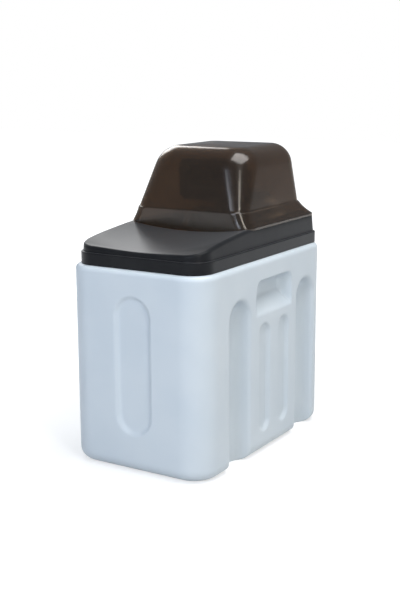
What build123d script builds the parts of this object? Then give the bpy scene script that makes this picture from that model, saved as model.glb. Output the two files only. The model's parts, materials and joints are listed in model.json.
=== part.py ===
from build123d import *
import os
from math import acos, atan2, cos, degrees, hypot, pi, radians, sin, tan

# Cabinet water softener: a moulded salt cabinet under a lift-off deck and smoked hood,
# a resin vessel with its metered control valve, and the brine well that feeds it.
# Millimetres, +Z up, front towards -Y, origin on the floor under the middle of the cabinet.

os.makedirs("parts", exist_ok=True)

# Clearances shared by all pieces
overrun = 3
seat_gap = 0.3
running_gap = 0.05
loose_gap = 1

# Small hidden rounds are drawn in this many flats, and round corners inside a wall in a few
round_sides = 16
corner_flats = 3

# Cabinet: overall size, then its edges and its open mouth
cabinet_width = 340
cabinet_depth = 550
overall_height = 660
crown_height = 232
cabinet_corner = 60
foot_radius = 26
shoulder_radius = 11
cabinet_wall = 4.5
mouth_inset = 20

# Cabinet sides: two deep flutes, a handhold and two shallow panels, about one centre line
side_centre = 20
flute_width = 98
flute_depth = 32
flute_lip = 10
flute_floor = 30
flute_top_drop = 63
flute_margin = 126
handhold_width = 165
handhold_drop = 39
handhold_height = 78
handhold_depth = 32
handhold_opening = 44
handhold_corner = 14
panel_width = 54
panel_depth = 8
panel_lip = 5
panel_floor = 7
panel_low = 46
panel_drop = 134
panel_spacing = 86
end_flats = 9

# Cabinet front: one tall recess
front_recess_width = 92
front_recess_low = 79
front_recess_drop = 50

# Deck that covers the cabinet: rim band, ledge, leaning sides, ramp and dished top
deck_inset = 12
deck_wall = 3
band_height = 26
ledge_width = 4.5
lean_angle = 4.8
crest_height = 68
crest_gap = 12
fascia_height = 35
dish_radius = 900
dish_drop = 13.3
lip_depth = 12
deck_rear_corner = 30
opening_inset = 58
opening_setback = 34
opening_rear_inset = 47
opening_corner = 30

# Hood over the valve: skirt, shoulder and tapering upper body
hood_wall = 2.5
hood_reach = 185
skirt_overlap = 5
skirt_height = 5
skirt_lip = 0.6
skirt_corner = 32
shoulder_corner = 43
shoulder_rise = 32
hood_ledge = 1.5
base_inset = 33
base_rear_inset = 56
upper_drop = 39
upper_inset = 45.5
upper_lean = 33
hood_corner = 42

# Pressure vessel, its boot and what it holds
vessel_gap = 5
vessel_rear_gap = 22.5
vessel_wall = 4
vessel_low = 10
vessel_rise = 17
low_dome = 55
foot_eye = 40
vessel_sides = 32
high_dome = 72
neck_radius = 41
neck_bore = 31.75
neck_height = 14
boot_wall = 2.5
boot_height = 75
boot_core = 36
riser_radius = 13.35
riser_wall = 2.4
resin_drop = 155
strainer_radius = 22
strainer_height = 48
strainer_slots = 3
strainer_slot = 3
basket_radius = 25
basket_height = 16

# Control valve: levels and the piston barrel
port_rise = 50
port_spacing = 80
piston_rise = 80
spigot_depth = 24
spigot_radius = 31.2
collar_radius = 42
collar_height = 20
tank_seal_height = 3
barrel_radius = 27
barrel_front_reach = 41
barrel_rear_reach = 67
barrel_bore = 19
end_bore = 15
rib_width = 44
bridge_height = 34
bridge_reach = 19
port_radius = 21
port_bore = 14
port_reach = 73
side_boss_half = 15
side_boss_reach = 58
injector_setback = 5
drain_setback = 23
side_boss_drop = 35
brine_boss_half = 10
brine_boss_rise = 13
brine_boss_setback = 29

# Piston, its seal stack and its screw rod
plug_flange = 6
plug_spigot = 8
nose_radius = 9
piston_radius = 14
piston_length = 52
piston_land = 9
piston_waist = 8.5
piston_travel = 20
rod_radius = 4
rod_reach = 14
spacer_bore = 15.6
spacer_length = 13
seal_bore = 14.1
seal_length = 3
seal_count = 5

# Gear train from the motor to the piston screw
gear_module = 1.25
pressure_angle = 25
backlash = 0.12
drive_teeth = 32
idler_teeth = 28
pinion_teeth = 12
idler_direction = 35
pinion_direction = 55
gear_thickness = 6
gear_step = 1.5
drive_gear_reach = 26
hub_radius = 6
hub_length = 14
axle_radius = 2
axle_head = 3.5
motor_half = 15
motor_length = 28
shaft_bore_depth = 8
bracket_thickness = 2.5
bracket_width = 122
bracket_height = 80

# Control box behind the smoked hood: housing, cover, board, display and keys
control_width = 146
control_height = 92
control_drop = 37
control_reach = 54
control_cover_depth = 16
control_housing_depth = 34
control_wall = 2.5
control_corner = 10
board_width = 128
board_height = 74
board_thickness = 1.6
board_setback = 10
display_width = 60
display_height = 26
display_rise = 62
display_x = -14
module_border = 3
display_thickness = 2
key_width = 14
key_height = 8
key_rise = 28
key_pitch = 22
key_flange = 1.5
key_proud = 1.6
key_travel = 1.5
jack_radius = 5
jack_length = 12

# Meter turbine in the outlet port
turbine_radius = 12
turbine_hub = 3.6
turbine_length = 12
turbine_blades = 5
blade_thickness = 1.6
blade_pitch = 28
cage_reach = 13.6
cage_thickness = 2
meter_pin = 1

# Inlet and outlet tails with their union nuts
tail_radius = 16.6
tail_bore = 12.5
tail_neck = 15.2
tail_flange = 20
tail_flange_thickness = 4
tail_length = 82
thread_length = 20
nut_flats = 52
nut_length = 20
fitting_room = 26

# Injector, drain and brine fittings on the valve
cap_radius = 19
cap_thickness = 6
nozzle_radius = 6
nozzle_length = 24
elbow_half = 9
hose_radius = 6.35
barb_length = 22
brine_line_radius = 4.75
brine_line_bend = 25
brine_elbow_half = 7

# Brine well with its cap, safety valve, float and pick-up tube
well_side_gap = 88
well_gap = 48
well_radius = 45
well_wall = 2
well_drop = 6
well_slot_width = 5
well_slot_height = 60
cap_lip = 7
cap_top = 5
pickup_radius = 6.5
safety_drop = 50
safety_radius = 22
safety_height = 34
safety_port_rise = 23
check_radius = 11
check_height = 52
float_radius = 28
float_height = 40
float_drop = 172
float_rod_radius = 2
float_rod_offset = 16
float_travel = 12
stop_radius = 12
stop_thickness = 3

# Raised salt platform
grid_height = 60
grid_thickness = 4
grid_gap = 57

# Overflow elbow in the rear flute of the left side
overflow_drop = 128
overflow_flange = 9.4
overflow_flange_thickness = 3
overflow_stem = 6
overflow_nut = 10
overflow_nut_thickness = 6

# Levels that follow from the overall height
rim_height = overall_height - crown_height
flute_top = rim_height - flute_top_drop
handhold_top = rim_height - handhold_drop
handhold_bottom = handhold_top - handhold_height
handhold_sill = handhold_top - handhold_opening
panel_high = rim_height - panel_drop
front_recess_high = rim_height - front_recess_drop
vessel_top = rim_height + vessel_rise
resin_top = vessel_top - resin_drop
port_height = vessel_top + port_rise
brine_boss_height = port_height + brine_boss_rise
piston_height = port_height + piston_rise
side_boss_height = piston_height - side_boss_drop
control_low = piston_height - control_drop
display_z = control_low + display_rise
key_z = control_low + key_rise
well_top = rim_height - well_drop
safety_low = well_top - safety_drop
safety_port_height = safety_low + safety_port_rise
float_low = safety_low - float_drop
overflow_height = rim_height - overflow_drop
upper_height = overall_height - upper_drop

# Places that follow from the width and the depth
flute_spacing = cabinet_depth - 2 * flute_margin
vessel_radius = cabinet_width / 2 - flute_depth - cabinet_wall - vessel_gap
boot_radius = vessel_radius + boot_wall
vessel_y = cabinet_depth / 2 - cabinet_wall - boot_radius - vessel_rear_gap
grid_rear = vessel_y - grid_gap
well_x = well_side_gap - cabinet_width / 2
well_y = vessel_y - boot_radius - well_gap
barrel_front = vessel_y - barrel_front_reach
barrel_rear = vessel_y + barrel_rear_reach
bridge_front = vessel_y - bridge_reach
port_rear = vessel_y + port_reach
tail_rear = port_rear + tail_length
injector_y = vessel_y - injector_setback
drain_y = vessel_y + drain_setback
brine_boss_y = vessel_y - brine_boss_setback
drive_gear_front = barrel_front - drive_gear_reach
rod_front = drive_gear_front - rod_reach
control_front = barrel_front - control_reach
hood_front = vessel_y - hood_reach
upper_front = hood_front + upper_lean
base_half_width = cabinet_width / 2 - base_inset
upper_half_width = cabinet_width / 2 - upper_inset
base_rear = cabinet_depth / 2 - base_rear_inset
opening_width = cabinet_width - 2 * opening_inset
opening_front = hood_front + opening_setback
opening_rear = cabinet_depth / 2 - opening_rear_inset

pieces = {}


def rod_x(radius, x0, x1, y, z):
    return Pos((x0 + x1) / 2, y, z) * Rot(0, 90, 0) * Cylinder(radius, abs(x1 - x0))


def rod_y(radius, y0, y1, x, z):
    return Pos(x, (y0 + y1) / 2, z) * Rot(90, 0, 0) * Cylinder(radius, abs(y1 - y0))


def rod_z(radius, z0, z1, x, y):
    return Pos(x, y, (z0 + z1) / 2) * Cylinder(radius, abs(z1 - z0))


def block(x0, x1, y0, y1, z0, z1):
    middle = Pos((x0 + x1) / 2, (y0 + y1) / 2, (z0 + z1) / 2)
    return middle * Box(x1 - x0, y1 - y0, z1 - z0)


def slab(width, depth, corner, z0, z1, y=0):
    return Pos(0, y, z0) * extrude(RectangleRounded(width, depth, corner), z1 - z0)


def deck_plan(inset):
    # wide front corners and tighter rear ones
    plan = Rectangle(deck_width - 2 * inset, deck_depth - 2 * inset)
    plan = fillet(plan.vertices().group_by(Axis.Y)[0], deck_corner - inset)
    return fillet(plan.vertices().group_by(Axis.Y)[-1], deck_rear_corner - inset)


def prism_y(radius, sides, y0, y1, x, z, across_flats=False):
    # a bar of many flats from y0 back to y1; radius is to its corners, or to its flats
    plan = RegularPolygon(radius, sides, major_radius=not across_flats)
    return Pos(x, y1, z) * Rot(90, 0, 0) * extrude(plan, y1 - y0)


def prism_z(radius, sides, z0, z1, x, y, across_flats=False):
    return Pos(x, y, z0) * extrude(RegularPolygon(radius, sides, major_radius=not across_flats), z1 - z0)


# Cabinet
def recess_steps(depth, lip, floor, chords):
    # depth and distance from the edge, for points along a convex lip and a concave run to the floor
    turn = acos(1 - depth / (lip + floor))
    run = (lip + floor) * sin(turn)
    convex = [turn * step / chords[0] for step in range(chords[0] + 1)]
    concave = [turn * (1 - step / chords[1]) for step in range(1, chords[1] + 1)]
    steps = [(lip * (1 - cos(angle)), lip * sin(angle)) for angle in convex]
    return steps + [(depth - floor * (1 - cos(angle)), run - floor * sin(angle)) for angle in concave]


def slot_plan(half_width, low, high):
    # a tall slot whose round ends are drawn in flats
    step = pi / end_flats
    reach = half_width / cos(step / 2)
    angles = [step * (place + 1 / 2) for place in range(end_flats)]
    upper = [(reach * cos(angle), high - half_width + reach * sin(angle)) for angle in angles]
    lower = [(-reach * cos(angle), low + half_width - reach * sin(angle)) for angle in angles]
    return make_face(Polyline(*upper, *lower, close=True))


def soft_recess(width, depth, lip, floor, low, high, chords):
    # a tall recess cut in from the wall, ring by ring; without low it runs out below the foot
    bottom = -width - lip - floor if low is None else low
    steps = recess_steps(depth, lip, floor, chords)
    cutter = extrude(slot_plan(width / 2, bottom, high), -overrun)
    for (depth0, inset0), (depth1, inset1) in zip(steps, steps[1:]):
        plan = slot_plan(width / 2 - inset0, bottom + inset0, high - inset0)
        taper = degrees(atan2(inset1 - inset0, depth1 - depth0))
        cutter += Pos(0, 0, depth0) * extrude(plan, depth1 - depth0, taper=taper)
    return Plane(origin=(0, 0, 0), x_dir=(0, -1, 0), z_dir=(-1, 0, 0)) * cutter


def handhold(grow):
    # undercut at the top for the fingers, with a sill that ramps out below
    slope = hypot(handhold_depth, handhold_sill - handhold_bottom) / handhold_depth
    outline = Polyline(
        (overrun, handhold_top + grow),
        (-handhold_depth - grow, handhold_top + grow),
        (-handhold_depth - grow, handhold_sill),
        (0, handhold_bottom - grow * slope),
        (overrun, handhold_bottom - grow * slope),
        close=True,
    )
    pocket = extrude(Plane.XZ * make_face(outline), handhold_width / 2 + grow, both=True)
    if grow:
        return pocket
    ends = pocket.edges().filter_by(lambda e: abs(e.center().Y) > handhold_width / 2 - overrun)
    return fillet([edge for edge in ends if edge.center().X < -overrun], handhold_corner)


def tall_recess(width, depth, lip, floor, low, high, chords, grow):
    # inside the wall the recess is a plain ridge, a wall's thickness larger all round
    if grow:
        bottom = -overrun if low is None else low - grow
        return block(-depth - grow, overrun, -width / 2 - grow, width / 2 + grow, bottom, high + grow)
    return soft_recess(width, depth, lip, floor, low, high, chords)


def side_cutters(grow):
    half_flutes = flute_spacing / 2
    half_panels = panel_spacing / 2
    flute = tall_recess(flute_width, flute_depth, flute_lip, flute_floor, None, flute_top, (1, 2), grow)
    panel = tall_recess(panel_width, panel_depth, panel_lip, panel_floor, panel_low, panel_high, (1, 2),
                        grow)
    cutters = [Pos(0, side_centre + side * half_flutes, 0) * flute for side in (-1, 1)]
    cutters += [Pos(0, side_centre + side * half_panels, 0) * panel for side in (-1, 1)]
    cutters.append(Pos(0, side_centre, 0) * handhold(grow))
    right = [Pos(cabinet_width / 2, 0, 0) * cutter for cutter in cutters]
    return right + [mirror(cutter, Plane.YZ) for cutter in right]


def cabinet_cutters(grow):
    front = tall_recess(front_recess_width, panel_depth, panel_lip, panel_floor,
                        front_recess_low, front_recess_high, (1, 2), grow)
    return side_cutters(grow) + [Pos(0, -cabinet_depth / 2, 0) * Rot(0, 0, -90) * front]


def cut_corner(x, y, corner, quarter):
    # points of one corner drawn in flats that touch its arc, in quarter 0 to 3
    step = pi / 2 / corner_flats
    reach = corner / cos(step / 2)
    angles = [quarter * pi / 2 + step * (place + 1 / 2) for place in range(corner_flats)]
    return [(x + reach * cos(angle), y + reach * sin(angle)) for angle in angles]


def cut_plan(width, depth, rear_corner, front_corner):
    x, rear, front = width / 2, depth / 2 - rear_corner, front_corner - depth / 2
    points = cut_corner(x - rear_corner, rear, rear_corner, 0)
    points += cut_corner(rear_corner - x, rear, rear_corner, 1)
    points += cut_corner(front_corner - x, front, front_corner, 2)
    points += cut_corner(x - front_corner, front, front_corner, 3)
    return make_face(Polyline(*points, close=True))


def ring_steps(radius, chords):
    # height above the edge's start and inset from the wall, for points along a rounded edge
    steps = [pi / 2 * step / chords for step in range(chords + 1)]
    return [(radius * (1 - cos(angle)), radius * (1 - sin(angle))) for angle in steps]


def tapered_ring(width, depth, corner, z0, inset0, z1, inset1, cut):
    if cut:
        plan = cut_plan(width - 2 * inset0, depth - 2 * inset0, corner - inset0, corner - inset0)
    else:
        plan = RectangleRounded(width - 2 * inset0, depth - 2 * inset0, corner - inset0)
    taper = degrees(atan2(inset1 - inset0, z1 - z0))
    return Pos(0, 0, z0) * extrude(plan, z1 - z0, taper=taper)


def rounded_block(width, depth, corner, low, high, foot, head, chords, cut):
    # a block with rounded upright corners, and rounded lower and upper edges in a few chords
    rings = [(low + rise, inset) for rise, inset in ring_steps(foot, chords[0])]
    rings += [(high - rise, inset) for rise, inset in reversed(ring_steps(head, chords[1]))]
    form = None
    for (z0, inset0), (z1, inset1) in zip(rings, rings[1:]):
        ring = tapered_ring(width, depth, corner, z0, inset0, z1, inset1, cut)
        form = ring if form is None else form + ring
    return form


def cabinet_form(inset):
    width, depth = cabinet_width - 2 * inset, cabinet_depth - 2 * inset
    form = rounded_block(width, depth, cabinet_corner, inset, rim_height - inset,
                         foot_radius - inset, shoulder_radius - inset, (1, 1) if inset else (2, 1),
                         inset > 0)
    for cutter in cabinet_cutters(inset):
        form -= cutter
    return form


mouth_width = cabinet_width - 2 * mouth_inset
mouth_depth = cabinet_depth - 2 * mouth_inset
mouth_corner = cabinet_corner - mouth_inset
floor_top = cabinet_wall
cabinet_room = cabinet_form(cabinet_wall)
overflow_y = side_centre + flute_spacing / 2
flute_face = cabinet_width / 2 - flute_depth


def cabinet_shell():
    shell = cabinet_form(0) - cabinet_room
    shell -= slab(mouth_width, mouth_depth, mouth_corner, rim_height - 2 * cabinet_wall,
                  rim_height + overrun)
    hole = rod_x(overflow_stem + seat_gap, -flute_face - overrun, -flute_face + 2 * cabinet_wall,
                 overflow_y, overflow_height)
    return shell - hole


# Deck
deck_width = cabinet_width - 2 * deck_inset
deck_depth = cabinet_depth - 2 * deck_inset
deck_corner = cabinet_corner - deck_inset
deck_front = -deck_depth / 2
band_top = rim_height + band_height
crest_z = rim_height + crest_height
crest_y = hood_front + crest_gap
notch_width = port_spacing + 2 * fitting_room


def ramp_block(lift):
    # everything under the ramp and the flat crest, raised by lift
    crest = crest_z + lift
    start = (deck_front - overrun, rim_height + fascia_height + lift)
    far = deck_depth / 2 + overrun
    low = rim_height - lip_depth
    ramp = TangentArc((crest_y, crest), start, tangent=(-1, 0))
    sides = Polyline(start, (start[0], low), (far, low), (far, crest), (crest_y, crest))
    return extrude(Plane.YZ * make_face([ramp, sides]), cabinet_width, both=True)


def dish(lift):
    # a long cylinder that hollows the top a little along its middle, deeper towards the hood
    fall = fascia_height - (crest_height - dish_drop)
    tilt = degrees(atan2(-fall, hood_front - deck_front))
    scoop = Rot(90, 0, 0) * Cylinder(dish_radius - lift, 2 * cabinet_depth)
    return Pos(0, deck_front, rim_height + fascia_height) * Rot(tilt, 0, 0) * Pos(0, 0, dish_radius) * scoop


def deck_upper(grow):
    # the leaning sides above the ledge, grown outwards by grow
    plan = deck_plan(ledge_width - grow)
    height = crest_height - band_height + 2 * overrun
    return Pos(0, 0, band_top - overrun) * extrude(plan, height, taper=lean_angle)


def deck_form():
    band = Pos(0, 0, rim_height) * extrude(deck_plan(0), band_height)
    return band + (deck_upper(0) & ramp_block(0)) - dish(0)


def deck_hollow(inset):
    # what the deck is hollowed by, its corners in flats
    band_plan = cut_plan(deck_width - 2 * inset, deck_depth - 2 * inset, deck_rear_corner, deck_corner)
    total = inset + ledge_width
    upper_plan = cut_plan(deck_width - 2 * total, deck_depth - 2 * total, deck_rear_corner, deck_corner)
    start = band_top - inset - overrun
    height = crest_height - band_height + 2 * overrun
    upper = Pos(0, 0, start) * extrude(upper_plan, height, taper=lean_angle)
    band = Pos(0, 0, rim_height) * extrude(band_plan, band_height - inset)
    return band + (upper & ramp_block(-inset)) - dish(-inset)


def deck_cover():
    cover = deck_form() - deck_hollow(deck_wall)
    lip_width = mouth_width - 2 * loose_gap
    lip_length = mouth_depth - 2 * loose_gap
    lip_corner = mouth_corner + 2 * loose_gap
    lip_plan = cut_plan(lip_width, lip_length, lip_corner, lip_corner)
    lip_hole = cut_plan(lip_width - 2 * deck_wall, lip_length - 2 * deck_wall, lip_corner, lip_corner)
    flange = Pos(0, 0, rim_height) * extrude(deck_plan(0) - lip_hole, deck_wall)
    lip = Pos(0, 0, rim_height - lip_depth) * extrude(lip_plan - lip_hole, lip_depth)
    cover += [flange, lip]
    middle = (opening_front + opening_rear) / 2
    cover -= slab(opening_width, opening_rear - opening_front, opening_corner,
                  band_top, crest_z + overrun, middle)
    cover -= block(-notch_width / 2, notch_width / 2, opening_rear - opening_corner,
                   deck_depth / 2 + overrun,
                   rim_height - lip_depth - overrun, crest_z + overrun)
    return cover


# Hood
skirt_low = crest_z - skirt_overlap
shoulder_height = crest_z + shoulder_rise
lean_in = (skirt_low - band_top) * tan(radians(lean_angle))
skirt_half = deck_width / 2 - ledge_width - lean_in + seat_gap + hood_wall
skirt_rear = deck_depth / 2 - ledge_width - lean_in + seat_gap + hood_wall


def frustum(z0, z1, half0, half1, front0, front1, rear0, rear1, edge=0):
    # four leaning flat walls between two levels, with the upper edges rounded
    across = make_face(Polyline((-half0, z0), (half0, z0), (half1, z1), (-half1, z1), close=True))
    along = make_face(Polyline((front0, z0), (rear0, z0), (rear1, z1), (front1, z1), close=True))
    if edge:
        across = fillet(across.vertices().group_by(Axis.Y)[-1], edge)
        along = fillet(along.vertices().group_by(Axis.Y)[-1], edge)
    across = extrude(Plane.XZ * across, cabinet_depth, both=True)
    return across & extrude(Plane.YZ * along, cabinet_width, both=True)


def upright(edge):
    # an edge that climbs, whichever way it leans
    return abs(edge.tangent_at(0).Z) > cos(radians(60))


def skirt_form(inset, low, high):
    plan = Rectangle(2 * (skirt_half - inset), skirt_rear - hood_front - 2 * inset)
    plan = fillet(plan.vertices(), skirt_corner - inset)
    return Pos(0, (hood_front + skirt_rear) / 2, low) * extrude(plan, high - low)


def shoulder_form(inset):
    # slopes in from the skirt to the crease on three sides and stands straight in front
    foot = inset + skirt_lip
    form = frustum(skirt_low + skirt_height, shoulder_height,
                   skirt_half - foot, base_half_width + hood_ledge - inset,
                   hood_front + foot, hood_front + foot,
                   skirt_rear - foot, base_rear + hood_ledge - inset)
    return fillet(form.edges().filter_by(upright), shoulder_corner - inset)


def upper_form(inset):
    # leaning flat walls through the two measured plans, with all upper edges rounded alike
    top = overall_height - inset
    rise = (top - shoulder_height) / (upper_height - shoulder_height)
    half = base_half_width + (upper_half_width - base_half_width) * rise
    front = hood_front + hood_ledge + (upper_front - hood_front - hood_ledge) * rise
    walls = (base_half_width - inset, half - inset, hood_front + hood_ledge + inset, front + inset,
             base_rear - inset, base_rear - inset)
    form = frustum(shoulder_height, top, *walls)
    form = fillet(form.edges().filter_by(upright), hood_corner - inset)
    return form & frustum(shoulder_height, top, *walls, hood_corner - inset)


def hood_form(inset):
    low = skirt_low - (overrun if inset else 0)
    return skirt_form(inset, low, skirt_low + skirt_height) + shoulder_form(inset) + upper_form(inset)


def hood_shell():
    shell = hood_form(0) - hood_form(hood_wall)
    low = rim_height + fascia_height
    ring = skirt_form(0, low, skirt_low) - skirt_form(hood_wall, low - overrun, skirt_low)
    shell += ring & deck_upper(-seat_gap)
    shell -= deck_upper(seat_gap) & ramp_block(seat_gap) - dish(seat_gap)
    shell -= block(-notch_width / 2, notch_width / 2, port_rear, skirt_rear + overrun,
                   skirt_low - overrun, port_height + fitting_room)
    return shell


# Pressure vessel, wound on a form of many flats
def dome_rings(radius, eye, rise, chords):
    # height above the rim and radius, for points along a flattened dome up to its eye
    end = acos(eye / radius)
    steps = [end * step / chords for step in range(chords + 1)]
    return [(rise * sin(angle) / sin(end), radius * cos(angle)) for angle in steps]


def vessel_ring(z0, radius0, z1, radius1):
    taper = degrees(atan2(radius0 - radius1, abs(z1 - z0)))
    plan = RegularPolygon(radius0, vessel_sides, major_radius=False)
    ring = extrude(plan, abs(z1 - z0), taper=taper)
    return Pos(0, vessel_y, z0) * (ring if z1 > z0 else mirror(ring, Plane.XY))


def vessel_body(inset):
    radius = vessel_radius - inset
    low_rim = vessel_low + low_dome
    high_rim = neck_start - high_dome
    body = vessel_ring(low_rim, radius, high_rim, radius)
    for rim, side, rise, eye, chords in ((low_rim, -1, low_dome - inset, foot_eye, 2),
                                         (high_rim, 1, high_dome - inset, neck_radius, 3)):
        rings = dome_rings(radius, eye - inset, rise, chords)
        for (rise0, radius0), (rise1, radius1) in zip(rings, rings[1:]):
            body += vessel_ring(rim + side * rise0, radius0, rim + side * rise1, radius1)
    return body


neck_start = vessel_top - neck_height
vessel_room = vessel_body(vessel_wall)


def pressure_vessel():
    neck = prism_z(neck_radius, vessel_sides, neck_start - overrun, vessel_top, 0, vessel_y)
    bore = prism_z(neck_bore, round_sides, neck_start - 2 * vessel_wall, vessel_top + overrun, 0,
                   vessel_y, across_flats=True)
    return vessel_body(0) + neck - vessel_room - bore


def vessel_boot():
    # a cup that the vessel's lower end sits in
    plan = RegularPolygon(boot_radius, vessel_sides, major_radius=False)
    boot = Pos(0, vessel_y, floor_top) * extrude(plan, boot_height)
    return boot - vessel_body(-seat_gap) - prism_z(boot_core, round_sides, floor_top - overrun,
                                                   vessel_top, 0, vessel_y)


strainer_low = vessel_low + vessel_wall + seat_gap


def riser_tube():
    tube = prism_z(riser_radius, round_sides // 2, strainer_low + strainer_height, vessel_top, 0, vessel_y)
    return tube - prism_z(riser_radius - riser_wall, round_sides // 2, strainer_low,
                          vessel_top + overrun, 0, vessel_y)


def bottom_strainer():
    # a basket of flats with ring slots between its ribs
    top = strainer_low + strainer_height
    basket = prism_z(strainer_radius, round_sides // 2, strainer_low, top, 0, vessel_y)
    pitch = strainer_height / (strainer_slots + 1)
    for slot in range(strainer_slots):
        z = strainer_low + pitch * (slot + 1)
        groove = prism_z(strainer_radius + overrun, round_sides // 2, z, z + strainer_slot, 0, vessel_y)
        basket -= groove - prism_z(riser_radius, round_sides // 2, z, z + strainer_slot, 0, vessel_y)
    return basket


def resin_bed():
    plan = RegularPolygon(vessel_radius - vessel_wall - seat_gap, vessel_sides, major_radius=False)
    core = RegularPolygon(strainer_radius + loose_gap, round_sides // 2)
    low = vessel_low + low_dome
    return Pos(0, vessel_y, low) * extrude(plan - core, resin_top - low)


spigot_low = vessel_top - spigot_depth


def top_strainer():
    low = spigot_low - basket_height
    basket = prism_z(basket_radius, round_sides // 2, low, spigot_low, 0, vessel_y)
    return basket - prism_z(riser_radius + loose_gap, round_sides // 2, low - overrun,
                            spigot_low + overrun, 0, vessel_y)


def tank_seal():
    ring = prism_z(collar_radius, round_sides, vessel_top, vessel_top + tank_seal_height, 0, vessel_y)
    bore = neck_bore + loose_gap
    return ring - prism_z(bore, round_sides, vessel_top - overrun, vessel_top + collar_height, 0, vessel_y)


# Control valve
inlet_x = -port_spacing / 2
outlet_x = port_spacing / 2
collar_low = vessel_top + tank_seal_height
stack_front = barrel_front + plug_spigot
stack_length = seal_count * seal_length + (seal_count - 1) * spacer_length
stack_rear = stack_front + stack_length
turbine_front = port_rear - turbine_length - 2 * cage_thickness - 2 * loose_gap


bridge_rear = barrel_rear - 2 * overrun


def valve_body():
    body = prism_z(collar_radius, round_sides, collar_low, collar_low + collar_height, 0, vessel_y)
    body += prism_z(spigot_radius, round_sides, spigot_low, collar_low, 0, vessel_y)
    body += block(-rib_width / 2, rib_width / 2, bridge_front, bridge_rear, collar_low, piston_height)
    body += prism_y(barrel_radius, round_sides, barrel_front, barrel_rear, 0, piston_height)
    body += block(inlet_x, outlet_x, bridge_front, bridge_rear,
                  port_height - bridge_height / 2, port_height + bridge_height / 2)
    for x in (inlet_x, outlet_x):
        body += prism_y(port_radius, round_sides, bridge_front, port_rear, x, port_height)
    bosses = [(-side_boss_reach, injector_y, side_boss_height, side_boss_half),
              (side_boss_reach, drain_y, side_boss_height, side_boss_half),
              (-side_boss_reach, brine_boss_y, brine_boss_height, brine_boss_half)]
    for reach, y, z, half in bosses:
        body += block(min(reach, 0), max(reach, 0), y - half, y + half, z - half, z + half)
    body -= prism_z(riser_radius + loose_gap, round_sides // 2, spigot_low - overrun, port_height, 0,
                    vessel_y)
    body -= prism_y(barrel_bore, round_sides, barrel_front - overrun, stack_rear, 0, piston_height,
                    across_flats=True)
    body -= prism_y(end_bore, round_sides, stack_rear - overrun, stack_rear + piston_travel, 0,
                    piston_height)
    for x in (inlet_x, outlet_x):
        body -= prism_y(port_bore, round_sides, bridge_front + port_bore, port_rear + overrun, x,
                        port_height, across_flats=True)
    nozzle_room = nozzle_radius + running_gap
    nozzle_middle = Pos(-side_boss_reach, injector_y, side_boss_height)
    body -= nozzle_middle * Box(2 * nozzle_length, 2 * nozzle_room, 2 * nozzle_room)
    return body


def seal_stack():
    # one sleeve with a ring of windows between the seals, from the plug to the end of the bore
    sleeve = prism_y(barrel_bore - running_gap, round_sides, stack_front, stack_rear, 0, piston_height)
    sleeve -= prism_y(seal_bore, round_sides, stack_front - overrun, stack_rear + overrun, 0,
                      piston_height, across_flats=True)
    for place in range(seal_count - 1):
        middle = stack_front + seal_length + spacer_length / 2 + place * (seal_length + spacer_length)
        window = Box(spacer_bore, spacer_length - seal_length, 3 * barrel_bore)
        sleeve -= Pos(0, middle, piston_height) * window
    return sleeve


plug_front = barrel_front - plug_flange
hub_rear = drive_gear_front + hub_length


def end_plug():
    plug = prism_y(barrel_radius, round_sides // 2, plug_front, barrel_front, 0, piston_height)
    plug += prism_y(barrel_bore - running_gap, round_sides, barrel_front, stack_front, 0, piston_height)
    plug += prism_y(nose_radius, round_sides, hub_rear + seat_gap, plug_front, 0, piston_height)
    return plug - rod_y(rod_radius + running_gap, hub_rear - overrun, stack_front + overrun, 0,
                        piston_height)


piston_front = stack_front + seal_length


def piston():
    # two lands on a waist, with the screw rod that reaches through the drive gear
    body = rod_y(rod_radius, rod_front, piston_front, 0, piston_height)
    body += prism_y(piston_waist, round_sides // 2, piston_front, piston_front + piston_length, 0,
                    piston_height)
    for front in (piston_front, piston_front + piston_length - piston_land):
        body += prism_y(piston_radius, round_sides, front, front + piston_land, 0, piston_height)
    return body


# Gear train, in the plane that faces the front
def gear_outline(teeth, phase):
    # a closed outline with involute flanks in chords; phase is the middle of one tooth, in degrees
    pitch_radius = gear_module * teeth / 2
    base_radius = pitch_radius * cos(radians(pressure_angle))
    tip_radius = pitch_radius + gear_module
    root_radius = pitch_radius - 1.25 * gear_module
    involute = tan(radians(pressure_angle)) - radians(pressure_angle)
    half_tooth = pi / (2 * teeth) - backlash / (2 * pitch_radius)

    def flank(radius):
        # half of the tooth's angle at a radius
        if radius <= base_radius:
            return half_tooth + involute
        angle = acos(base_radius / radius)
        return half_tooth + involute - (tan(angle) - angle)

    start = max(root_radius, base_radius)
    radii = [start, tip_radius]
    points = []
    for tooth in range(teeth):
        middle = radians(phase) + 2 * pi * tooth / teeth
        left = [(root_radius, middle - flank(start))] + [(r, middle - flank(r)) for r in radii]
        right = [(r, middle + flank(r)) for r in reversed(radii)] + [(root_radius, middle + flank(start))]
        if start == root_radius:
            left, right = left[1:], right[:-1]
        points += [(r * cos(angle), r * sin(angle)) for r, angle in left + right]
    return make_face(Polyline(*points, close=True))


def gear(teeth, phase, front, rear, x, z):
    # Rot turns the outline to face the front, so its angles run from +X towards +Z
    return Pos(x, rear, z) * Rot(90, 0, 0) * extrude(gear_outline(teeth, phase), rear - front)


def centre_distance(first, second):
    return gear_module * (first + second) / 2


idler_x = centre_distance(drive_teeth, pinion_teeth) * cos(radians(idler_direction))
idler_z = piston_height + centre_distance(drive_teeth, pinion_teeth) * sin(radians(idler_direction))
motor_x = idler_x + centre_distance(idler_teeth, pinion_teeth) * cos(radians(pinion_direction))
motor_z = idler_z + centre_distance(idler_teeth, pinion_teeth) * sin(radians(pinion_direction))
drive_front = drive_gear_front + gear_step + gear_thickness
drive_rear = drive_front + gear_thickness
bracket_front = hub_rear + gear_step
bracket_rear = bracket_front + bracket_thickness


control_z = control_low + control_height / 2


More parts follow.
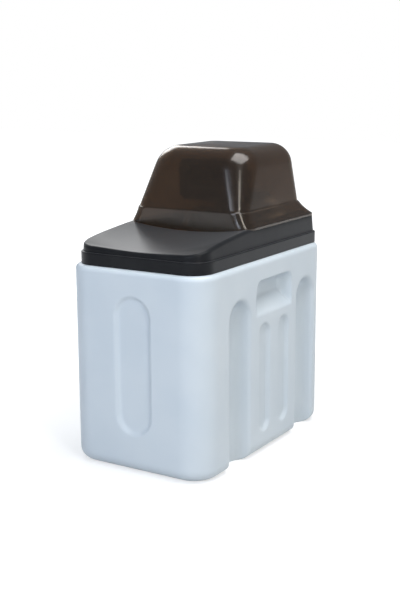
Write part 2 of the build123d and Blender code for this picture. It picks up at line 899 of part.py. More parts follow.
def drive_gear():
    wheel = gear(drive_teeth, idler_direction, drive_front, drive_rear, 0, piston_height)
    wheel += prism_y(hub_radius, round_sides // 2, drive_gear_front, hub_rear, 0, piston_height)
    return wheel - rod_y(rod_radius + running_gap, drive_gear_front - overrun, hub_rear + overrun, 0,
                         piston_height)


def idler_gear():
    # a wheel in front of the drive gear and a pinion in its plane, on one hub
    gap_phase = idler_direction + 180 + 180 / pinion_teeth
    wheel_front = drive_front - gear_step - gear_thickness
    body = gear(pinion_teeth, gap_phase, drive_front - gear_step, drive_rear, idler_x, idler_z)
    body += gear(idler_teeth, pinion_direction, wheel_front, wheel_front + gear_thickness, idler_x, idler_z)
    return body - rod_y(axle_radius + running_gap, wheel_front - overrun, drive_rear + overrun, idler_x,
                        idler_z)


def motor_pinion():
    # the pinion with its shaft, which runs in the motor's nose
    front = drive_front - gear_step - gear_thickness
    phase = pinion_direction + 180 + 180 / pinion_teeth
    pinion = gear(pinion_teeth, phase, front, front + gear_thickness, motor_x, motor_z)
    return pinion + rod_y(axle_radius, front, bracket_rear + shaft_bore_depth - loose_gap, motor_x, motor_z)


def drive_motor():
    motor = Pos(motor_x, bracket_rear, motor_z) * Rot(-90, 0, 0) * extrude(
        Rectangle(2 * motor_half, 2 * motor_half), motor_length)
    return motor - rod_y(axle_radius + running_gap, bracket_rear - overrun, bracket_rear + shaft_bore_depth,
                         motor_x, motor_z)


def gear_bracket():
    # a plate behind the gears, with the pin that the idler turns on and its head
    plate = block(-bracket_width / 2, bracket_width / 2, bracket_front, bracket_rear,
                  control_z - bracket_height / 2, control_z + bracket_height / 2)
    for radius, x, z in ((nose_radius, 0, piston_height), (axle_radius + running_gap, motor_x, motor_z)):
        plate -= prism_y(radius + running_gap, round_sides // 2, bracket_front - overrun,
                         bracket_rear + overrun, x, z, across_flats=True)
    front = drive_front - 2 * gear_step - gear_thickness
    plate += rod_y(axle_radius, front, bracket_rear, idler_x, idler_z)
    return plate + rod_y(axle_head, front - gear_step, front, idler_x, idler_z)


# Control box
split_y = control_front + control_cover_depth
housing_rear = split_y + control_housing_depth
board_y = control_front + board_setback
key_places = [(place - 1.5) * key_pitch for place in range(4)]


def case(inset, y0, y1):
    # a plate with cut corners that faces the front
    plan = Rectangle(control_width - 2 * inset, control_height - 2 * inset)
    plan = chamfer(plan.vertices(), control_corner - inset)
    return Pos(0, y1, control_z) * Rot(90, 0, 0) * extrude(plan, y1 - y0)


def control_cover():
    cover = case(0, control_front, split_y) - case(control_wall, control_front + control_wall,
                                                   split_y + overrun)
    cover -= block(display_x - display_width / 2, display_x + display_width / 2, control_front - overrun,
                   control_front + control_wall + overrun, display_z - display_height / 2,
                   display_z + display_height / 2)
    for x in key_places:
        half = key_width / 2 + seat_gap
        cover -= block(x - half, x + half, control_front - overrun, control_front + control_wall + overrun,
                       key_z - key_height / 2 - seat_gap, key_z + key_height / 2 + seat_gap)
    return cover


def control_housing():
    # open at the back round the valve's barrel and the motor
    box = case(0, split_y, housing_rear) - case(control_wall, split_y - overrun, housing_rear - control_wall)
    low, high = piston_height - barrel_radius - seat_gap, motor_z + motor_half + seat_gap
    box -= block(-barrel_radius - seat_gap, motor_x + motor_half + seat_gap,
                 housing_rear - 2 * control_wall, housing_rear + overrun, low, high)
    jack = jack_radius + seat_gap
    return box - Pos(-control_width / 2, split_y + control_housing_depth / 2, control_z) * Box(
        2 * jack_length, 2 * jack, 2 * jack)


def display_window():
    return block(display_x - display_width / 2, display_x + display_width / 2, control_front,
                 control_front + display_thickness, display_z - display_height / 2,
                 display_z + display_height / 2)


def circuit_board():
    board = block(-board_width / 2, board_width / 2, board_y, board_y + board_thickness,
                  control_z - board_height / 2, control_z + board_height / 2)
    return board


def display_module():
    half_width, half_height = display_width / 2 + module_border, display_height / 2 + module_border
    return block(display_x - half_width, display_x + half_width, control_front + control_wall, board_y,
                 display_z - half_height, display_z + half_height)


def key(x):
    # a cap through the cover, with a flange behind it and a stem that nearly meets the board
    cap = block(x - key_width / 2, x + key_width / 2, control_front - key_proud,
                board_y - key_travel - seat_gap, key_z - key_height / 2, key_z + key_height / 2)
    flange_front = control_front + control_wall + seat_gap
    border = key_flange
    return cap + block(x - key_width / 2 - border, x + key_width / 2 + border, flange_front,
                       flange_front + key_flange, key_z - key_height / 2 - border,
                       key_z + key_height / 2 + border)


def power_jack():
    middle = Pos(-control_width / 2, split_y + control_housing_depth / 2, control_z)
    jack = middle * Pos(jack_length / 2, 0, 0) * Box(jack_length, 2 * jack_radius, 2 * jack_radius)
    hole = extrude(RegularPolygon(jack_radius / 2, round_sides // 2), jack_length)
    return jack - middle * Rot(0, 90, 0) * Pos(0, 0, -jack_length / 2) * hole


# Meter turbine in the outlet port
rotor_front = turbine_front + cage_thickness + loose_gap / 2
rotor_rear = rotor_front + turbine_length


def meter_turbine():
    middle = Pos(outlet_x, (rotor_front + rotor_rear) / 2, port_height)
    rotor = prism_y(turbine_hub, 2 * turbine_blades, rotor_front, rotor_rear, outlet_x, port_height)
    for blade in range(turbine_blades):
        vane = Pos(0, 0, turbine_radius / 2) * Rot(0, 0, blade_pitch) * Box(
            blade_thickness, turbine_length - 2 * loose_gap, turbine_radius)
        rotor += middle * Rot(0, blade * 360 / turbine_blades, 0) * vane
    return rotor - rod_y(meter_pin + running_gap, rotor_front - overrun, rotor_rear + overrun, outlet_x,
                         port_height)


def turbine_cage():
    # a bar across the port before and behind the rotor, with the pin between them
    cage = rod_y(meter_pin, turbine_front, rotor_rear + cage_thickness + loose_gap / 2, outlet_x,
                 port_height)
    for front in (turbine_front, rotor_rear + loose_gap / 2):
        cage += block(outlet_x - cage_reach, outlet_x + cage_reach, front, front + cage_thickness,
                      port_height - turbine_hub / 2, port_height + turbine_hub / 2)
    return cage


# Inlet and outlet tails
def port_tail(x):
    tail = rod_y(tail_radius, tail_rear - thread_length, tail_rear, x, port_height)
    tail += prism_y(tail_neck, round_sides, port_rear, tail_rear - thread_length, x, port_height)
    tail += prism_y(tail_flange, round_sides // 2, port_rear, port_rear + tail_flange_thickness, x,
                    port_height)
    return tail - prism_y(tail_bore, round_sides, port_rear - overrun, tail_rear + overrun, x, port_height)


def union_nut(x):
    front = port_rear - nut_length / 2
    rear = port_rear + nut_length / 2
    flange_rear = port_rear + tail_flange_thickness
    nut = prism_y(nut_flats / 2, 6, front, rear, x, port_height, across_flats=True)
    nut -= prism_y(port_radius + running_gap, round_sides, front - overrun, flange_rear, x, port_height,
                   across_flats=True)
    return nut - prism_y(tail_radius + running_gap, round_sides, front, rear + overrun, x, port_height,
                         across_flats=True)


# Fittings on the sides of the valve
def injector_cap():
    cap = Rot(0, 90, 0) * extrude(RegularPolygon(cap_radius, 6), cap_thickness)
    return Pos(-side_boss_reach - cap_thickness, injector_y, side_boss_height) * cap


def injector_nozzle():
    nozzle = Rot(0, 90, 0) * extrude(RegularPolygon(nozzle_radius, round_sides // 2),
                                     nozzle_length - loose_gap)
    return Pos(-side_boss_reach, injector_y, side_boss_height) * nozzle


def elbow_block(x0, x1, y, z, half):
    return block(x0, x1, y - half, y + half, z - half, z + half)


def drain_elbow():
    x = side_boss_reach
    elbow = elbow_block(x, x + 2 * elbow_half, drain_y, side_boss_height, elbow_half)
    barb_end = drain_y + elbow_half + barb_length
    elbow += rod_y(hose_radius, drain_y, barb_end, x + elbow_half, side_boss_height)
    return elbow - prism_y(hose_radius - well_wall, round_sides // 2, drain_y + elbow_half,
                           barb_end + overrun,
                           x + elbow_half, side_boss_height)


brine_line_x = -side_boss_reach - brine_elbow_half


def brine_elbow():
    return elbow_block(-side_boss_reach - 2 * brine_elbow_half, -side_boss_reach, brine_boss_y,
                       brine_boss_height, brine_elbow_half)


# Brine well
def brine_well():
    well = prism_z(well_radius, round_sides, floor_top, well_top, well_x, well_y)
    well -= prism_z(well_radius - well_wall, round_sides, floor_top - overrun, well_top + overrun,
                    well_x, well_y)
    long, narrow, tall = 3 * well_radius, well_slot_width, well_slot_height
    for size in ((long, narrow, tall), (narrow, long, tall)):
        well -= Pos(well_x, well_y, floor_top + well_slot_height) * Box(*size)
    side = 2 * brine_elbow_half + 2 * loose_gap
    return well - Pos(well_x, well_y + well_radius, safety_port_height) * Box(side, well_radius, side)


def brine_well_cap():
    cap = prism_z(well_radius + well_wall, round_sides, well_top, well_top + cap_top, well_x, well_y)
    lip = well_radius - well_wall - seat_gap
    return cap + prism_z(lip, round_sides, well_top - cap_lip, well_top, well_x, well_y)


pickup_low = floor_top + check_height
float_top = float_low + float_height


def pickup_tube():
    tube = prism_z(pickup_radius, round_sides // 2, pickup_low, safety_low, well_x, well_y)
    return tube + prism_z(stop_radius, round_sides // 2, float_low - stop_thickness, float_low, well_x,
                          well_y)


def safety_valve():
    # a round body with the outlet towards the vessel and a bore for the float rod
    body = prism_z(safety_radius, round_sides, safety_low, safety_low + safety_height, well_x, well_y)
    outlet = safety_outlet - well_y
    body += Pos(well_x, well_y + outlet / 2, safety_port_height) * Box(2 * brine_elbow_half, outlet,
                                                                       2 * brine_elbow_half)
    return body - rod_z(float_rod_radius + running_gap, safety_low - overrun,
                        safety_low + 2 * float_travel, well_x + float_rod_offset, well_y)


safety_outlet = well_y + safety_radius + brine_elbow_half


def air_check():
    return prism_z(check_radius, round_sides // 2, floor_top, pickup_low, well_x, well_y)


def brine_float():
    body = prism_z(float_radius, round_sides, float_low, float_top, well_x, well_y)
    return body - prism_z(pickup_radius + 2 * loose_gap, round_sides // 2, float_low - overrun,
                          float_top + overrun, well_x, well_y)


def float_rod():
    return rod_z(float_rod_radius, float_top, safety_low + 2 * float_rod_radius,
                 well_x + float_rod_offset, well_y)


def brine_line():
    # a tube of flats that climbs from the well to the valve, round the front of the vessel
    start = (well_x, safety_outlet, safety_port_height)
    finish = (brine_line_x, brine_boss_y - brine_elbow_half, brine_boss_height)
    straight = (finish[1] - start[1]) / 4
    route = FilletPolyline(
        start,
        (start[0], start[1] + straight, start[2]),
        (finish[0], finish[1] - straight, finish[2]),
        finish,
        radius=brine_line_bend,
    )
    section = Plane(origin=route @ 0, z_dir=route % 0) * RegularPolygon(brine_line_radius, 6)
    return sweep(section, path=route)


# Salt platform
def salt_grid():
    plate = cabinet_form(cabinet_wall + loose_gap)
    width, depth = cabinet_width, cabinet_depth
    plate &= block(-width / 2, width / 2, -depth / 2, grid_rear, grid_height, grid_height + grid_thickness)
    plate -= prism_z(boot_radius + loose_gap, vessel_sides, floor_top, rim_height, 0, vessel_y,
                     across_flats=True)
    plate -= prism_z(well_radius + loose_gap, round_sides, floor_top, rim_height, well_x, well_y)
    return plate


def overflow_elbow():
    # a flange on the cabinet's wall, its stem through the hole and a barb that points down
    wall = -flute_face - seat_gap
    bend = wall - overflow_flange_thickness - elbow_half
    stem_end = overflow_nut_thickness + cabinet_wall - flute_face
    turned = Pos(wall - overflow_flange_thickness, overflow_y, overflow_height) * Rot(0, 90, 0)
    elbow = turned * extrude(RegularPolygon(overflow_flange, round_sides // 2), overflow_flange_thickness)
    elbow += turned * extrude(RegularPolygon(overflow_stem, round_sides // 2),
                              stem_end - wall + overflow_flange_thickness)
    elbow += elbow_block(bend - elbow_half, bend + elbow_half, overflow_y, overflow_height, elbow_half)
    barb_end = overflow_height - elbow_half - barb_length
    elbow += rod_z(hose_radius, barb_end, overflow_height, bend, overflow_y)
    return elbow - prism_z(hose_radius - well_wall, round_sides // 2, barb_end - overrun,
                           overflow_height - elbow_half, bend, overflow_y)


def overflow_nut_ring():
    start = Pos(cabinet_wall - flute_face, overflow_y, overflow_height) * Rot(0, 90, 0)
    bore = RegularPolygon(overflow_stem + seat_gap, round_sides // 2)
    return start * extrude(RegularPolygon(overflow_nut, 6) - bore, overflow_nut_thickness)


pieces["cabinet_shell"] = cabinet_shell()
pieces["deck_cover"] = deck_cover()
pieces["hood_shell"] = hood_shell()
pieces["pressure_vessel"] = pressure_vessel()
pieces["vessel_boot"] = vessel_boot()
pieces["riser_tube"] = riser_tube()
pieces["bottom_strainer"] = bottom_strainer()
pieces["top_strainer"] = top_strainer()
pieces["resin_bed"] = resin_bed()
pieces["tank_seal"] = tank_seal()
pieces["valve_body"] = valve_body()
pieces["seal_stack"] = seal_stack()
pieces["end_plug"] = end_plug()
pieces["piston"] = piston()
pieces["drive_gear"] = drive_gear()
pieces["idler_gear"] = idler_gear()
pieces["motor_pinion"] = motor_pinion()
pieces["drive_motor"] = drive_motor()
pieces["gear_bracket"] = gear_bracket()
pieces["control_cover"] = control_cover()
pieces["control_housing"] = control_housing()
pieces["display_window"] = display_window()
pieces["display_module"] = display_module()
pieces["circuit_board"] = circuit_board()
for name, x in zip(("menu_key", "down_key", "up_key", "regenerate_key"), key_places):
    pieces[name] = key(x)
pieces["power_jack"] = power_jack()
pieces["meter_turbine"] = meter_turbine()
pieces["turbine_cage"] = turbine_cage()
pieces["port_tails"] = Compound(children=[port_tail(x) for x in (inlet_x, outlet_x)])
pieces["union_nuts"] = Compound(children=[union_nut(x) for x in (inlet_x, outlet_x)])
pieces["injector_cap"] = injector_cap()
pieces["injector_nozzle"] = injector_nozzle()
pieces["drain_elbow"] = drain_elbow()
pieces["brine_elbow"] = brine_elbow()
pieces["brine_line"] = brine_line()
pieces["brine_well"] = brine_well()
pieces["brine_well_cap"] = brine_well_cap()
pieces["pickup_tube"] = pickup_tube()
pieces["safety_valve"] = safety_valve()
pieces["air_check"] = air_check()
pieces["brine_float"] = brine_float()
pieces["float_rod"] = float_rod()
pieces["salt_grid"] = salt_grid()
pieces["overflow_elbow"] = overflow_elbow()
pieces["overflow_nut"] = overflow_nut_ring()

for name, shape in pieces.items():
    export_step(shape, f"parts/{name}.step")
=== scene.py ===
import json
import math

import bmesh
import bpy
import numpy as np
from mathutils import Matrix, Vector


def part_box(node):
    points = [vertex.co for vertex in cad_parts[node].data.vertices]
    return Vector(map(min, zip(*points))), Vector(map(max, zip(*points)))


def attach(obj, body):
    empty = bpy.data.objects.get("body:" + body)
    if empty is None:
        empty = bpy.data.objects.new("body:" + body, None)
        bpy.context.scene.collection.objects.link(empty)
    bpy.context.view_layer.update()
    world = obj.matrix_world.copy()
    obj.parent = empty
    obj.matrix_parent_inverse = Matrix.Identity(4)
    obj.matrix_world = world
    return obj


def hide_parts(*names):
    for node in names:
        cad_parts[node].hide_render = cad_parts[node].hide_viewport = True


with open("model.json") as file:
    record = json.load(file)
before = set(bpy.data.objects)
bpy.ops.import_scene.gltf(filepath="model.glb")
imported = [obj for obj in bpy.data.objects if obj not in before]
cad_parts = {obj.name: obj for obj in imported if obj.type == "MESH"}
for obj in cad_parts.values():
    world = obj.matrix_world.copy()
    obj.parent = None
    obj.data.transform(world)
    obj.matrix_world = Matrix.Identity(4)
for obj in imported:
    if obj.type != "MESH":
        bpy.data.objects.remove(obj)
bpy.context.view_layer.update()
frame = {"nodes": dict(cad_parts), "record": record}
print("frame loaded")

mm = 0.001  # sizes are in millimetres, apart from the studio's, with +Z up and the front towards -Y


def hexColour(code):
    # sRGB hex to the linear values that Blender works in
    parts = [int(code[k:k + 2], 16) / 255 for k in (1, 3, 5)]
    return [v / 12.92 if v <= 0.04045 else ((v + 0.055) / 1.055) ** 2.4 for v in parts] + [1.0]


def nodeBox(name):
    low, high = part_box(name)
    return [v / mm for v in low], [v / mm for v in high]


def addObject(name, data):
    item = bpy.data.objects.new(name, data)
    bpy.context.scene.collection.objects.link(item)
    return item


def spread(low, high, coarse, knots=()):
    # positions from low to high, closer together near each knot (centre, reach, fine step)
    places = [low]
    while places[-1] < high:
        here = places[-1]
        step = coarse
        for centre, reach, fine in knots:
            away = abs(here - centre) / reach
            if away < 1:
                step = min(step, fine + (coarse - fine) * away)
        places.append(here + step)
    places = np.array(places)
    return low + (places - low) * (high - low) / (places[-1] - low)


def shares(count):
    return np.arange(count) / count


def evenCuts(alongFront, alongSide, alongRear, cornerSteps):
    return shares(alongFront), shares(alongSide), shares(alongRear), cornerSteps


def quarterTurn(steps):
    # angles from nothing to a right angle, for the rounded edges
    return [math.pi / 2 * step / steps for step in range(steps + 1)]


def planLoop(halfX, front, rear, frontCorner, rearCorner, cuts):
    # a rounded rectangle seen from above, counterclockwise from the left end of the front wall
    # cuts: shares along the front, side and rear walls, and the number of steps in a corner
    alongFront, alongSide, alongRear, cornerSteps = cuts
    turn = shares(cornerSteps) * math.pi / 2

    def wall(start, end, along):
        start, end = np.array(start), np.array(end)
        return start + (end - start) * along[:, None]

    def corner(centreX, centreY, radius, first):
        angle = first + turn
        return np.stack([centreX + radius * np.cos(angle), centreY + radius * np.sin(angle)], 1)

    inFront, inRear = halfX - frontCorner, halfX - rearCorner
    low, high = front + frontCorner, rear - rearCorner
    backwards = 1 - alongSide[::-1]
    return np.concatenate([
        wall((-inFront, front), (inFront, front), alongFront),
        corner(inFront, low, frontCorner, -math.pi / 2),
        wall((halfX, low), (halfX, high), alongSide),
        corner(inRear, high, rearCorner, 0),
        wall((inRear, rear), (-inRear, rear), alongRear),
        corner(-inRear, high, rearCorner, math.pi / 2),
        wall((-halfX, high), (-halfX, low), np.append(0, backwards[:-1])),
        corner(-inFront, low, frontCorner, math.pi),
    ])


def ringAt(loop, height):
    # a plan loop in space, at one height or at a height for each point
    return np.column_stack([loop, np.broadcast_to(height, len(loop))])


weld, skinSharpAngle = 0.001, 38  # points this close are one, and edges sharper than this stay crisp


def skin(name, rows, wrapped=False, capFirst=False, capLast=False):
    # a mesh through rows of points that close round; wrapped joins the last row to the first
    count = len(rows[0])
    around = np.arange(count)
    following = (around + 1) % count
    faces = []
    for row in range(len(rows) if wrapped else len(rows) - 1):
        here, there = row * count, (row + 1) % len(rows) * count
        faces.append(np.stack([here + around, here + following, there + following, there + around], 1))
    faces = np.concatenate(faces).tolist()
    if capFirst:
        faces.append(around[::-1].tolist())
    if capLast:
        faces.append(((len(rows) - 1) * count + around).tolist())
    mesh = bpy.data.meshes.new(name)
    mesh.from_pydata((np.concatenate(rows) * mm).tolist(), [], faces)
    work = bmesh.new()
    work.from_mesh(mesh)
    bmesh.ops.remove_doubles(work, verts=work.verts, dist=weld * mm)
    bmesh.ops.recalc_face_normals(work, faces=work.faces)
    work.to_mesh(mesh)
    work.free()
    mesh.shade_smooth()
    mesh.set_sharp_from_angle(angle=math.radians(skinSharpAngle))
    return addObject(name, mesh)


def plainMesh(piece):
    # turns what the modifiers make into the piece's own mesh
    bpy.context.view_layer.update()
    shaped = bpy.data.meshes.new_from_object(piece.evaluated_get(bpy.context.evaluated_depsgraph_get()))
    piece.modifiers.clear()
    old = piece.data
    piece.data = shaped
    bpy.data.meshes.remove(old)
    shaped.name = piece.name
    return piece


def carve(piece, cutter):
    # takes one closed mesh out of another
    modifier = piece.modifiers.new("cut", "BOOLEAN")
    modifier.object, modifier.operation, modifier.solver = cutter, "DIFFERENCE", "EXACT"
    plainMesh(piece)
    bpy.data.objects.remove(cutter)
    return piece


def cutAway(piece, low, high):
    # takes a box out of a piece
    low, high = Vector(low) * mm, Vector(high) * mm
    scale = Matrix.Diagonal((*(high - low), 1))
    work = bmesh.new()
    bmesh.ops.create_cube(work, size=1)
    bmesh.ops.transform(work, matrix=Matrix.Translation((low + high) / 2) @ scale, verts=work.verts)
    mesh = bpy.data.meshes.new("cutter")
    work.to_mesh(mesh)
    work.free()
    return carve(piece, addObject("cutter", mesh))


def place(piece, body, slotName, material, *replaced):
    piece.data.materials.clear()
    piece.data.materials.append(material)
    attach(piece, body)
    if replaced:
        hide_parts(*replaced)


def addNode(tree, kind, settings=(), links=()):
    # a node with its settings, by socket or property name, and its incoming links, by name or number
    node = tree.nodes.new(kind)
    for key, value in dict(settings).items():
        if key in node.inputs:
            node.inputs[key].default_value = value
        else:
            setattr(node, key, value)
    for key, source in dict(links).items():
        tree.links.new(source, node.inputs[key])
    return node


def newTree(name, sizes):
    # a geometry tree with named inputs, each given as (socket type, usual value)
    tree = bpy.data.node_groups.new(name, "GeometryNodeTree")
    tree.interface.new_socket("Geometry", in_out="OUTPUT", socket_type="NodeSocketGeometry")
    for label, (kind, value) in sizes.items():
        tree.interface.new_socket(label, in_out="INPUT", socket_type=kind).default_value = value
    return tree, addNode(tree, "NodeGroupInput").outputs


def endTree(tree, geometry, material):
    real = addNode(tree, "GeometryNodeRealizeInstances", links={"Geometry": geometry})
    coated = addNode(tree, "GeometryNodeSetMaterial", {"Material": material},
                     {"Geometry": real.outputs["Geometry"]})
    addNode(tree, "NodeGroupOutput", links={"Geometry": coated.outputs["Geometry"]})


def runTree(name, tree, sizes):
    # runs a tree with its sizes and keeps the result as a plain mesh
    piece = addObject(name, bpy.data.meshes.new(name))
    modifier = piece.modifiers.new("grow", "NODES")
    modifier.node_group = tree
    for item in tree.interface.items_tree:
        if item.in_out == "INPUT":
            modifier[item.identifier] = sizes[item.name]
    return plainMesh(piece)


def newMaterial(name, shader):
    # shader: values for sockets of the Principled shader that are the same all over
    material = bpy.data.materials.new(name)
    material.use_nodes = True
    tree = material.node_tree
    surface = tree.nodes["Principled BSDF"]
    for key, value in shader.items():
        surface.inputs[key].default_value = value
    return material, tree, surface, addNode(tree, "ShaderNodeTexCoord").outputs["Object"]


patchBand = (0.35, 0.65)  # between these shares of the noise one colour passes into the other


def mottled(tree, surface, where, size, first, second, detail=4):
    # soft patches between two close colours, size in millimetres
    patches = addNode(tree, "ShaderNodeTexNoise", {
        "Scale": 1 / (size * mm), "Detail": detail, "Roughness": 0.5}, {"Vector": where})
    ramp = addNode(tree, "ShaderNodeValToRGB", links={"Fac": patches.outputs["Fac"]})
    for stop, position, colour in zip(ramp.color_ramp.elements, patchBand, (first, second)):
        stop.position, stop.color = position, hexColour(colour)
    tree.links.new(ramp.outputs["Color"], surface.inputs["Base Color"])


def grained(tree, surface, where, size, height, strength, detail=2):
    # fine relief of a moulded skin, size and height in millimetres
    grain = addNode(tree, "ShaderNodeTexNoise", {
        "Scale": 1 / (size * mm), "Detail": detail}, {"Vector": where})
    bump = addNode(tree, "ShaderNodeBump", {
        "Strength": strength, "Distance": height * mm}, {"Height": grain.outputs["Fac"]})
    tree.links.new(bump.outputs["Normal"], surface.inputs["Normal"])


def polyethylene():
    # blow-moulded polyethylene: a cool white with a soft satin skin, faintly uneven as such walls are
    material, tree, surface, where = newMaterial("mouldedPolyethylene", {"Roughness": 0.42, "IOR": 1.5})
    mottled(tree, surface, where, 120, "#CBD5DC", "#D0D9DF", 2)
    grained(tree, surface, where, 3.2, 0.05, 0.5)  # the real grain, near 1 mm, drawn coarser so that it shows
    return material


def blackAbs():
    # injection-moulded black ABS: a dull sheen, with grain that greys the top where light grazes it
    material, tree, surface, where = newMaterial("mouldedBlackAbs", {
        "Roughness": 0.34, "IOR": 1.5, "Specular IOR Level": 0.1,
        "Sheen Weight": 0.2, "Sheen Roughness": 0.4})
    mottled(tree, surface, where, 40, "#17181B", "#1D1E20")
    grained(tree, surface, where, 1.6, 0.04, 0.6, 3)  # real spark grain is about 0.5 mm, too fine to show
    return material


def smokedPolycarbonate():
    # smoked polycarbonate: brown, dim to look through and bright where the light strikes it
    material, tree, surface, where = newMaterial("smokedPolycarbonate", {
        "Roughness": 0.18, "IOR": 1.5, "Specular IOR Level": 0.16, "Transmission Weight": 0.93})
    mottled(tree, surface, where, 90, "#6B5845", "#74614E", 2)
    grained(tree, surface, where, 6, 0.03, 0.4)  # slow waves that a moulded sheet shows in its reflections
    return material


def plainPlastic(name, first, second, roughness):
    # moulded machine parts: slight tone changes and an eroded skin, drawn 1.2 mm where a real one is finer
    material, tree, surface, where = newMaterial(name, {"Roughness": roughness, "IOR": 1.5})
    mottled(tree, surface, where, 25, first, second)
    grained(tree, surface, where, 1.2, 0.03, 0.5)
    return material


def resinBeads():
    # amber exchange resin: packed beads, drawn 2 mm across where real ones are 0.6 mm, so that they show
    material, tree, surface, where = newMaterial("exchangeResinBeads", {"Roughness": 0.3, "IOR": 1.5})
    mottled(tree, surface, where, 6, "#A8691F", "#C88A3C")
    beads = addNode(tree, "ShaderNodeTexVoronoi", {"Scale": 1 / (2 * mm)}, {"Vector": where})
    bump = addNode(tree, "ShaderNodeBump", {
        "Strength": 0.8, "Distance": 0.6 * mm, "invert": True}, {"Height": beads.outputs["Distance"]})
    tree.links.new(bump.outputs["Normal"], surface.inputs["Normal"])
    return material


def woundGlass():
    # glass fibre wound in blue resin: two crossing runs of strands 12 mm apart under a gloss coat
    strandSpacing, tilt = 12, 0.42
    waveScale = math.pi / (10 * strandSpacing * mm)  # at a scale of 1 a band is pi / 10 metres wide
    material, tree, surface, where = newMaterial("woundGlassFibre", {"Roughness": 0.28, "IOR": 1.55})
    runs = addNode(tree, "ShaderNodeMath", {"operation": "MAXIMUM"})
    for side, lean in enumerate((tilt, -tilt)):
        turned = addNode(tree, "ShaderNodeMapping", {"Rotation": (lean, 0, 0)}, {"Vector": where})
        bands = addNode(tree, "ShaderNodeTexWave", {
            "bands_direction": "Z", "Scale": waveScale, "Distortion": 0.9, "Detail": 2.0,
        }, {"Vector": turned.outputs["Vector"]})
        tree.links.new(bands.outputs["Fac"], runs.inputs[side])
    ramp = addNode(tree, "ShaderNodeValToRGB", links={"Fac": runs.outputs[0]})
    for stop, colour in zip(ramp.color_ramp.elements, ("#1F3E5C", "#34608A")):
        stop.color = hexColour(colour)
    tree.links.new(ramp.outputs["Color"], surface.inputs["Base Color"])
    bump = addNode(tree, "ShaderNodeBump", {
        "Strength": 0.35, "Distance": 0.4 * mm}, {"Height": runs.outputs[0]})
    tree.links.new(bump.outputs["Normal"], surface.inputs["Normal"])
    return material


def platedSteel():
    # zinc-plated steel can: grey metal, with a faint spangle where the plating took unevenly
    material, tree, surface, where = newMaterial("platedSteel", {"Metallic": 1.0, "Roughness": 0.35})
    mottled(tree, surface, where, 12, "#A4A8AC", "#B4B8BB")
    grained(tree, surface, where, 0.8, 0.02, 0.4)
    return material


finishes = {
    "polyethylene": polyethylene(),
    "blackAbs": blackAbs(),
    "smoked": smokedPolycarbonate(),
    "wound": woundGlass(),
    "beads": resinBeads(),
    "steel": platedSteel(),
    "black": plainPlastic("glassFilledBlack", "#151618", "#1B1C1F", 0.45),  # nylon with glass: dull black
    "grey": plainPlastic("greyPolypropylene", "#85898D", "#8F9397", 0.42),  # an even mid grey, half matt
    "white": plainPlastic("naturalPolypropylene", "#DADBD6", "#E2E3DE", 0.38),  # uncoloured: milky and warm
    "keys": plainPlastic("keyCaps", "#55585C", "#5E6165", 0.4),  # dark grey, paler than the cover
    "rubber": plainPlastic("nitrileRubber", "#161616", "#1C1C1C", 0.6),  # black and matt
    "board": plainPlastic("coatedBoard", "#27543A", "#2F6244", 0.3),  # green lacquer with a slight shine
    "glass": plainPlastic("displayGlass", "#14181C", "#181D22", 0.08),  # an unlit display: black and glossy
    "tube": plainPlastic("clearTubing", "#D5D9D4", "#DDE0DB", 0.25),  # soft tubing: pale and a little shiny
}
print("materials made")


cabinet = {
    "corner": 60, "foot": 26, "shoulder": 11, "wall": 4.5, "mouth": 20, "lipRound": 1.4,
    "centre": 20,  # the middle of what is on the sides, behind the middle of the cabinet
    "fluteWidth": 98, "fluteDepth": 32, "fluteLip": 10, "fluteFloor": 30, "fluteTop": 365,
    "fluteSpacing": 298,
    "holdWidth": 165, "holdTop": 389, "holdSill": 345, "holdFoot": 311, "holdDepth": 32, "holdCorner": 25,
    "holdLip": 4, "holdFloor": 15, "holdDraft": 6, "sillBlend": 6, "rampRunOut": 3, "holdBlend": 5,
    "panelWidth": 54, "panelDepth": 8, "panelLip": 5, "panelFloor": 7, "panelLow": 46, "panelHigh": 294,
    "panelSpacing": 86, "frontWidth": 92, "frontLow": 79, "frontHigh": 378, "recessBlend": 5,
    "shelfTurn": ((0, 7), (1, 2.5), (4, 0.6), (8, 0)),  # drop and inset, from the shelf into the inner wall
    "innerGap": 14,  # from the shelf to the even rows of the inner wall
    "meshStep": 3.4, "innerStep": 9, "rearCuts": 20, "cornerCuts": 14,
    "endFine": (16, 1.2), "topFine": (14, 0.7), "footFine": (20, 2.0), "innerFine": (16, 2.0),  # reach, step
    "footSteps": 8, "shoulderSteps": 6, "lipSteps": 4, "innerFootSteps": 5,
}


def softWall(inside, depth, lip, floor):
    # depth of a recess at a distance inside its edge: a convex lip, then a concave floor
    turn = math.acos(1 - depth / (lip + floor))
    run = (lip + floor) * math.sin(turn)
    t = np.clip(inside, 0, run)
    convex = lip - np.sqrt(np.maximum(lip ** 2 - t ** 2, 0))
    concave = depth - floor + np.sqrt(np.maximum(floor ** 2 - (run - t) ** 2, 0))
    return np.where(t < lip * math.sin(turn), convex, concave)


def steepWall(inside, depth, lip, floor, draft):
    # the same for a wall that stands nearly square to the face
    t = np.clip(inside, 0, None)
    convex = lip - np.sqrt(np.maximum(lip ** 2 - np.minimum(t, lip) ** 2, 0))
    rise = depth - lip - floor
    wall = lip + rise * np.clip((t - lip) / draft, 0, 1)
    s = np.clip((t - lip - draft) / floor, 0, 1)
    concave = depth - floor + floor * np.sqrt(1 - (1 - s) ** 2)
    return np.where(t < lip, convex, np.where(t < lip + draft, wall, concave))


def intoSlot(across, height, halfWidth, low, high):
    # distance inside a tall slot with round ends
    past = np.maximum(height - (high - halfWidth), 0) + np.maximum(low + halfWidth - height, 0)
    return halfWidth - np.hypot(across, past)


def blendMax(a, b, soft):
    # the larger of two depths, with the crease between them softened
    near = np.minimum(soft, np.minimum(a, b))
    h = np.where(near > 0, np.maximum(near - np.abs(a - b), 0) / np.maximum(near, 1e-9), 0)
    return np.maximum(a, b) + h * h * near / 4


